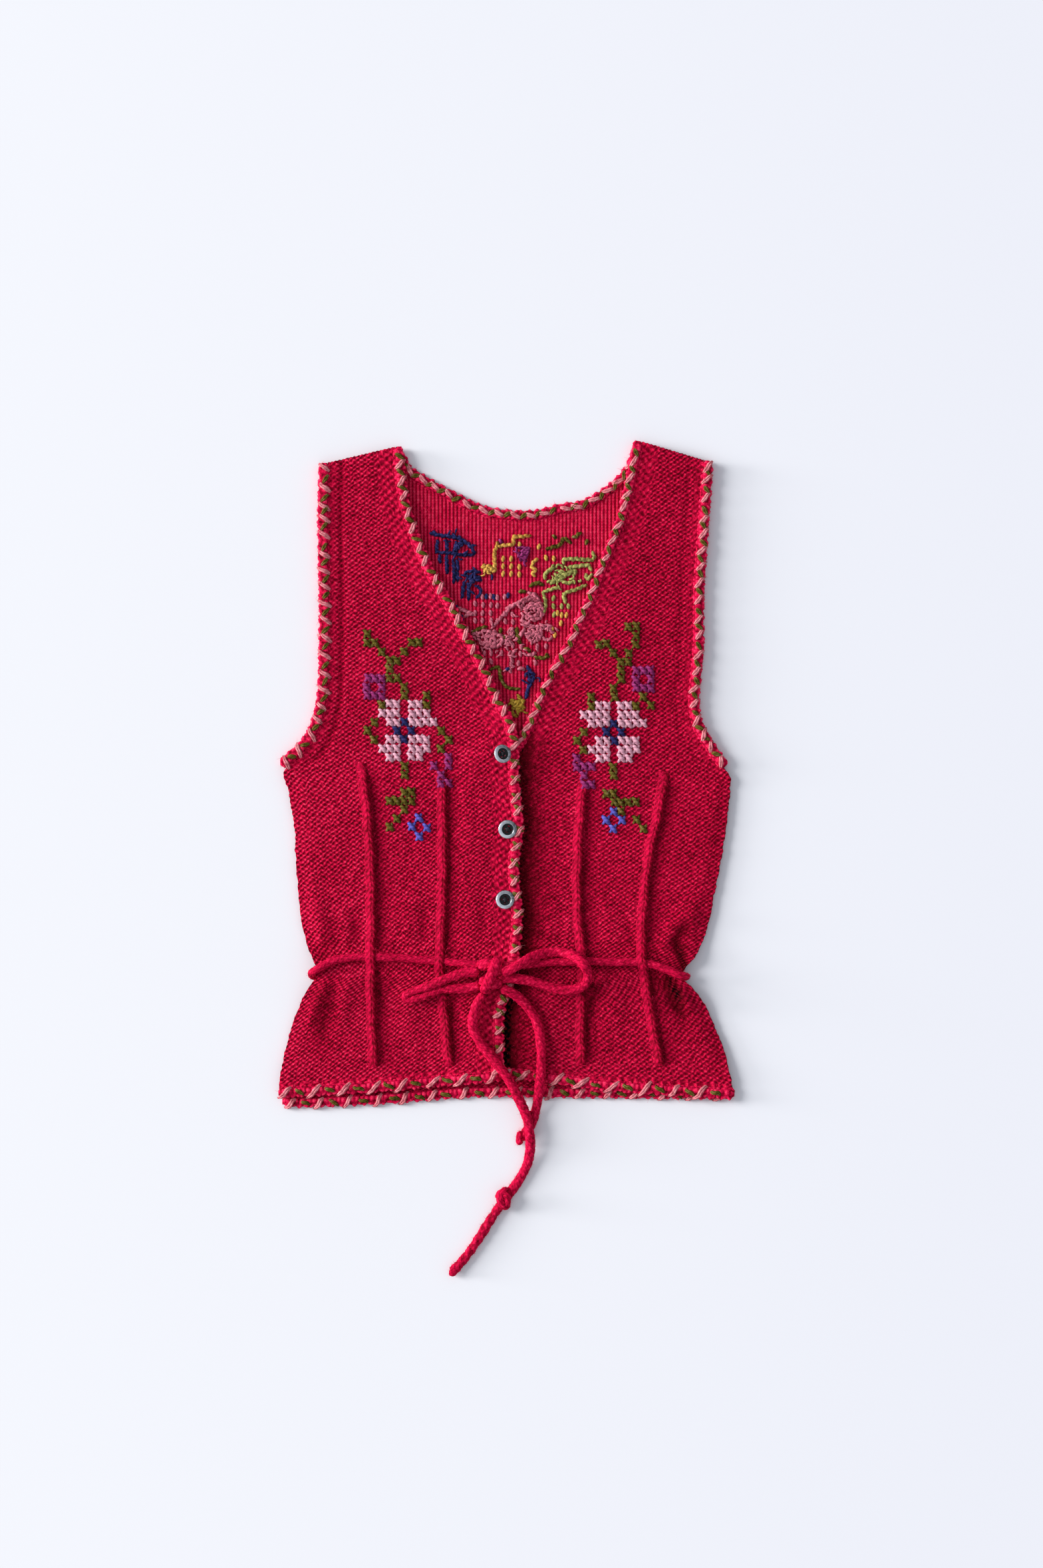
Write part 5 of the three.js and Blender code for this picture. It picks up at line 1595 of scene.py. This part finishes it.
def inside_threads():
    heap = Heap()
    rng = np.random.default_rng(81)
    names = list(FLOAT_YARNS)
    for yarn_name, lines in FLOATS.items():
        for line in lines:
            flat = np.array([(x, y, 0) for x, y in line])
            path, at = smooth_path(flat, 0.9) if len(line) > 2 else smooth_path(
                [flat[0], (flat[0] + flat[1]) / 2 + rng.normal(0, 0.3, 3), flat[1]], 0.9)
            wobble = 0.35 * np.sin(2 * np.pi * at / 4.1 + rng.uniform(0, 6))
            path[:, 0] += wobble
            path[:, 1] += 0.35 * np.cos(2 * np.pi * at / 4.7 + rng.uniform(0, 6))
            ends = np.minimum(at, at[-1] - at)
            path[:, 2] = (THREAD_Z + 0.5 * np.sin(2 * np.pi * at / 4.66) + rng.uniform(0, 0.5)
                          - 1.6 * np.exp(-ends))
            points, crown_shade = strand(path, 1.45 * rng.uniform(0.9, 1.15), taper=0.75)
            heap.add(points, ring_faces(len(path), 8), {"crown_shade": crown_shade}, names.index(yarn_name))
    for yarn_name, places in DASHES.items():
        for x, y in places:
            t = np.linspace(-1, 1, 6)
            lean = rng.normal(0, 0.3)
            z = DASH_Z - 1.7 * np.abs(t) ** 3
            points, crown_shade = strand(np.column_stack([x + lean * t, y + 2.4 * t, z]), 1.4, taper=0.6, flat=0.7)
            heap.add(points, ring_faces(len(t), 8), {"crown_shade": crown_shade}, names.index(yarn_name))
    for yarn_name, x, y, size, count in TANGLES:
        for _ in range(int(0.7 * count)):
            turn, curl = rng.uniform(0, 2 * np.pi), rng.normal(0, 0.9)
            t = np.linspace(-1, 1, 8)
            spot = np.array([x, y]) + rng.normal(0, size / 2, 2)
            heading = turn + curl * t
            step = np.column_stack([np.cos(heading), np.sin(heading)]) * rng.uniform(0.5, 0.9)
            line = spot + np.cumsum(step, axis=0)
            z = TANGLE_Z + rng.uniform(0, 1.3) - 1.6 * np.abs(t) ** 3
            points, crown_shade = strand(np.column_stack([line, z]), rng.uniform(0.7, 1.1), sides=6, taper=0.5)
            heap.add(points, ring_faces(len(t), 6), {"crown_shade": crown_shade}, names.index(yarn_name))
    return heap.build("back_inside_threads", list(FLOAT_YARNS.values()))


threads = inside_threads()
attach(threads, "root")
print("back_inside_threads", triangles(threads), "triangles")

# %% [markdown]
# ## Buttons
# Three shell buttons with a raised rim, a dished middle and four holes, sewn on with dark thread.

# %% Button materials
shell = bpy.data.materials.new("smoky_shell")
shell.use_nodes = True
tree = shell.node_tree
surface = tree.nodes["Principled BSDF"]
coords = node(tree, "ShaderNodeTexCoord")
grain = node(tree, "ShaderNodeTexNoise", in_Scale=260.0, in_Detail=3.0, in_Distortion=1.2)
tree.links.new(coords.outputs["Object"], grain.inputs["Vector"])
# the shell's colour: its mottled grain, and a painted reflection
tint = node(tree, "ShaderNodeMix", data_type="RGBA")
tint.inputs["A"].default_value = (0.05, 0.055, 0.065, 1)
tint.inputs["B"].default_value = (0.56, 0.61, 0.68, 1)
painted_reflection = node(tree, "ShaderNodeAttribute", attribute_name="painted_reflection")
mottled = math_node(tree, "MULTIPLY", math_node(tree, "SUBTRACT", grain.outputs["Fac"], 0.5), 1.1)
tree.links.new(math_node(tree, "ADD", mottled, painted_reflection.outputs["Fac"]), tint.inputs["Factor"])
tree.links.new(tint.outputs["Result"], surface.inputs["Base Color"])
surface.inputs["Metallic"].default_value = 0.35
surface.inputs["Roughness"].default_value = 0.22
surface.inputs["Coat Weight"].default_value = 0.5

dish = bpy.data.materials.new("dark_shell")
dish.use_nodes = True
surface = dish.node_tree.nodes["Principled BSDF"]
surface.inputs["Base Color"].default_value = (0.006, 0.006, 0.008, 1)
surface.inputs["Roughness"].default_value = 0.32
surface.inputs["Specular IOR Level"].default_value = 0.25

dark_thread = yarn("dark_thread", (0.03, 0.03, 0.035), (0.006, 0.006, 0.008))
print(shell.name, dish.name, dark_thread.name)

# %% A turned button
BUTTONS = [(-3, 17, 30, 18), (1, -43, 5, -60), (-1, -99, 4, 40)]  # x, y, tilt, turn
PROFILE = [  # distance from the axis, height, from the middle of the back round to the middle of the dish
    (0.02, -1.1), (5.8, -1.1), (6.9, -0.85), (7.4, -0.35), (7.5, 0.15), (7.35, 0.65), (6.9, 0.98), (6.3, 1.1),
    (5.2, 1.02), (4.7, 0.75), (4.35, 0.4), (3.9, 0.12), (3.0, 0.0), (0.02, -0.02)]
LATHE_SIDES = 56
DISH_FROM = 7       # the rings of the profile from here on are its upper side
DISH_RADIUS = 4.4
HOLES = 4
HOLE_RADIUS, HOLE_PLACE, HOLE_DEEP = 1.0, 2, 6
SEWING = [(-1.4, -1.4, 1.4, 1.4), (-1.4, 1.4, 1.4, -1.4), (-1.7, -1.4, 1.2, 1.5)]  # threads' two ends


def lathe(name, profile, sides):
    """A profile turned round its axis; the dish in the middle has the second material."""
    angle = np.linspace(0, 2 * np.pi, sides, endpoint=False)
    r, h = np.array(profile).T
    points = np.stack([r[:, None] * np.cos(angle), r[:, None] * np.sin(angle), h[:, None] + 0 * angle],
                      axis=-1)
    faces = ring_faces(len(profile), sides)
    middle = r[np.clip(faces // sides, 0, len(r) - 1)].max(axis=1)
    top = faces.min(axis=1) // sides >= DISH_FROM
    return make_object(name, points.reshape(-1, 3), faces.tolist(), None, [shell, dish],
                       np.where(top & (middle < DISH_RADIUS + 0.4), 1, 0))


def only(piece):
    bpy.ops.object.select_all(action="DESELECT")
    piece.select_set(True)
    bpy.context.view_layer.objects.active = piece


def button_piece(number):
    """A button at the origin with its holes cut, and the height of its solid's middle."""
    low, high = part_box(f"button_{number}")
    middle_z = (low[2] + high[2]) / 2
    piece = lathe(f"shell_button_{number}", PROFILE, LATHE_SIDES)
    for k in range(HOLES):
        angle = math.pi / HOLES + k * 2 * math.pi / HOLES
        bpy.ops.mesh.primitive_cylinder_add(
            vertices=16, radius=HOLE_RADIUS * MM, depth=HOLE_DEEP * MM,
            location=(HOLE_PLACE * math.cos(angle) * MM, HOLE_PLACE * math.sin(angle) * MM, 0))
        cutter = bpy.context.object
        hole = piece.modifiers.new("hole", "BOOLEAN")
        hole.operation = "DIFFERENCE"
        hole.object = cutter
        only(piece)
        bpy.ops.object.modifier_apply(modifier="hole")
        bpy.data.objects.remove(cutter)
    return piece, middle_z


print("button", 2 * max(r for r, _ in PROFILE), "mm across")

# %% Set the buttons and sew them on
for number, (x, y, tilt, turn) in enumerate(BUTTONS, 1):
    piece, middle_z = button_piece(number)
    heap = Heap()
    for x0, y0, x1, y1 in SEWING:
        t = np.linspace(0, 1, 7)[:, None]
        line = lerp(np.array([x0, y0, 0.0]), np.array([x1, y1, 0.0]), t)
        line[:, 2] = 0.2 + 0.5 * np.sin(np.pi * t[:, 0]) - 0.9 * (np.abs(2 * t[:, 0] - 1) ** 6)
        points, crown_shade = strand(line, 0.9, taper=1.0, flat=0.7)
        heap.add(points, ring_faces(7, 8), {"crown_shade": crown_shade})
    thread = heap.build(f"button_thread_{number}", [dark_thread])
    place = (mathutils.Matrix.Translation((x * MM, y * MM, middle_z))
             @ mathutils.Matrix.Rotation(math.radians(turn), 4, "Z")
             @ mathutils.Matrix.Rotation(math.radians(tilt), 4, "Y"))
    for part in (piece, thread):
        part.data.transform(place)
        part.data.update()
        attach(part, "root")
    at = np.empty(len(piece.data.vertices) * 3)
    piece.data.vertices.foreach_get("co", at)
    off = at.reshape(-1, 3)[:, :2] / MM - (x, y)
    radius = np.hypot(*off.T)
    angle = np.arctan2(off[:, 1], off[:, 0]) + math.radians(60)
    # painted reflection: the rim dark on one side and light on the other, a bright ring round the dish, and a
    # darker outer edge
    painted_reflection = 0.55 - 0.42 * np.sin(angle) + 0.5 * np.exp(-(((radius - 4.6) / 0.35) ** 2))
    painted_reflection = painted_reflection - 0.5 * smooth((radius - 7) / 0.5)
    piece.data.attributes.new("painted_reflection", "FLOAT", "POINT").data.foreach_set("value", np.clip(painted_reflection, 0.05, 1))
    only(piece)
    bpy.ops.object.shade_smooth_by_angle(angle=math.radians(40))
    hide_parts(f"button_{number}")
    print(piece.name, triangles(piece), "triangles")

# %% [markdown]
# ## Loose fibres
# Wool is never smooth: short fibres stand out of the yarn and soften every edge. Each is a narrow
# ribbon in two lengths, rooted on a point of the yarn and bent away from it.

# %% Fuzz
FIBRE_POINTS = 3
FIBRE_HALF = 0.10   # half of a ribbon's width at its root
FIBRE_LOWEST = 0.2


def fuzz(name, sources, material, longest, seed):
    """Ribbons rooted on random points of the source pieces; sources are (piece, how many)."""
    rng = np.random.default_rng(seed)
    roots, normals = [], []
    for piece, count in sources:
        mesh = piece.data
        at = np.empty(len(mesh.vertices) * 3)
        mesh.vertices.foreach_get("co", at)
        out = np.empty(len(mesh.vertices) * 3)
        mesh.vertex_normals.foreach_get("vector", out)
        at, out = at.reshape(-1, 3) / MM, out.reshape(-1, 3)
        up = np.flatnonzero(out[:, 2] > -0.2)
        pick = rng.choice(up, count)
        roots.append(at[pick])
        normals.append(out[pick])
    roots, normals = np.vstack(roots), np.vstack(normals)
    count = len(roots)
    lean = normals * rng.uniform(0.1, 0.6, (count, 1)) + rng.normal(0, 0.6, (count, 3))
    lean[:, 2] = np.abs(lean[:, 2]) * 0.5
    lean /= np.linalg.norm(lean, axis=1)[:, None]
    bend = rng.normal(0, 0.5, (count, 3))
    bend[:, 2] = -np.abs(bend[:, 2]) * 0.4
    length = longest * rng.uniform(0.35, 1.0, count) ** 1.5
    across = np.cross(lean, rng.normal(0, 1, (count, 3)))
    across /= np.linalg.norm(across, axis=1)[:, None]
    t = np.linspace(0, 1, FIBRE_POINTS)
    middle = (roots[:, None, :] + length[:, None, None] * (
        lean[:, None, :] * t[None, :, None] + bend[:, None, :] * (t**2)[None, :, None] * 0.6))
    middle[:, 0, :] -= 0.2 * normals
    middle[:, :, 2] = np.maximum(middle[:, :, 2], FIBRE_LOWEST)
    half = FIBRE_HALF * (1 - 0.6 * t)[None, :, None] * across[:, None, :]
    points = np.stack([middle - half, middle + half], axis=2).reshape(-1, 3)
    start = (np.arange(count) * FIBRE_POINTS * 2)[:, None] + 2 * np.arange(FIBRE_POINTS - 1)[None, :]
    faces = np.stack([start, start + 1, start + 3, start + 2], axis=-1).reshape(-1, 4)
    piece = make_object(name, points, faces.tolist(), {"crown_shade": np.full(len(points), 0.9)}, [material])
    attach(piece, "root")
    print(name, triangles(piece), "triangles")
    return piece


cord_fuzz = fuzz("cord_fuzz", [(piece, int(length * 9)) for piece, _, length, _ in cords.values()]
                 + [(knot, 500), (end_knots, 700)], CRIMSON_CORD, 3.2, 91)
edge_fuzz = fuzz("edging_fuzz", [(p, 1100) for p in edging_pieces.values()]
                 + [(p, 700) for p in rib_pieces.values()], CRIMSON_EDGE, 2.8, 92)
cloth_fuzz = fuzz("cloth_fuzz", [(over_knit, 3600), (under_knit, 3600)], CRIMSON_CORD, 2.4, 93)
pink_fuzz = fuzz("whip_fuzz", [(p, 420) for p in whip_pieces.values()], PINK, 2.6, 94)

# %% [markdown]
# ## The sheets of cloth
# The knitted panels lie flat.


# %% [markdown]
# ## Table and light
# The vest lies on a plain pale table, whose colour is painted a little darker to the right, as the
# light from the left falls off. Two broad, soft lights come from the left, one of them low, and the
# room fills in the rest, so that shadows are faint, except beside the lapping edge, where painted
# shade deepens the real one.

# %% Table
TABLE_SIZE = 6
FADE_REACH = 0.4  # the painted falloff runs from this far left of the middle to as far right
# painted falloff of the light from the left: the table's colour on its lit and on its shaded side
TABLE_LIT_SIDE = (0.835, 0.842, 0.882, 1)
TABLE_SHADED_SIDE = (0.780, 0.788, 0.845, 1)

bpy.ops.mesh.primitive_plane_add(size=TABLE_SIZE, location=(0, 0, 0))
table = bpy.context.object
table.name = "table"
paint = bpy.data.materials.new("pale_table")
paint.use_nodes = True
surface = paint.node_tree.nodes["Principled BSDF"]
coords = node(paint.node_tree, "ShaderNodeTexCoord")
place = node(paint.node_tree, "ShaderNodeSeparateXYZ")
paint.node_tree.links.new(coords.outputs["Object"], place.inputs["Vector"])
along = node(paint.node_tree, "ShaderNodeMapRange")
along.inputs["From Min"].default_value = -FADE_REACH
along.inputs["From Max"].default_value = FADE_REACH
paint.node_tree.links.new(place.outputs["X"], along.inputs["Value"])
# painted falloff of the light across the table
painted_falloff = node(paint.node_tree, "ShaderNodeMix", data_type="RGBA")
painted_falloff.inputs["A"].default_value = TABLE_LIT_SIDE
painted_falloff.inputs["B"].default_value = TABLE_SHADED_SIDE
paint.node_tree.links.new(along.outputs["Result"], painted_falloff.inputs["Factor"])
paint.node_tree.links.new(painted_falloff.outputs["Result"], surface.inputs["Base Color"])
surface.inputs["Roughness"].default_value = 0.9
surface.inputs["Specular IOR Level"].default_value = 0.1
table.data.materials.append(paint)
table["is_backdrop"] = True
print(table.name, "size", TABLE_SIZE, "m")


# %% Lights
SUNS = {  # how far from the left and from the top; elevation; strength; spread
    "window": (1.0, 0.30, 29, 2.85, 26),
    "window_low": (1.0, 0.12, 10, 2.7, 15),
}
SUN_COLOUR = (1.0, 0.985, 0.965)
ROOM_COLOUR = (0.90, 0.94, 1.0, 1)
ROOM_STRENGTH = 0.56


def sun(name, from_left, from_top, elevation, strength, spread):
    data = bpy.data.lights.new(name, "SUN")
    data.energy = strength
    data.angle = math.radians(spread)
    data.color = SUN_COLOUR
    lamp = bpy.data.objects.new(name, data)
    rise = math.radians(elevation)
    level = math.cos(rise)
    reach = math.hypot(from_left, from_top)
    toward = mathutils.Vector((-from_left / reach * level, from_top / reach * level, math.sin(rise)))
    lamp.location = toward * 2
    lamp.rotation_euler = (-toward).to_track_quat("-Z", "Y").to_euler()
    bpy.context.scene.collection.objects.link(lamp)
    lamp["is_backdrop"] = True
    return lamp


for name, facts in SUNS.items():
    sun(name, *facts)
world = bpy.data.worlds.new("room")
bpy.context.scene.world = world
world.use_nodes = True
world.node_tree.nodes["Background"].inputs["Color"].default_value = ROOM_COLOUR
world.node_tree.nodes["Background"].inputs["Strength"].default_value = ROOM_STRENGTH
view = bpy.context.scene.view_settings
view.view_transform = "Standard"
view.look = "None"
view.exposure = 0.0
view.gamma = 1.0
print("view transform", view.view_transform)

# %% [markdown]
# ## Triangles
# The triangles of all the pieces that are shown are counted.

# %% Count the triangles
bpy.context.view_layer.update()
total = sum(triangles(p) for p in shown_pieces() if p.type == "MESH")
print("triangles in all", total)
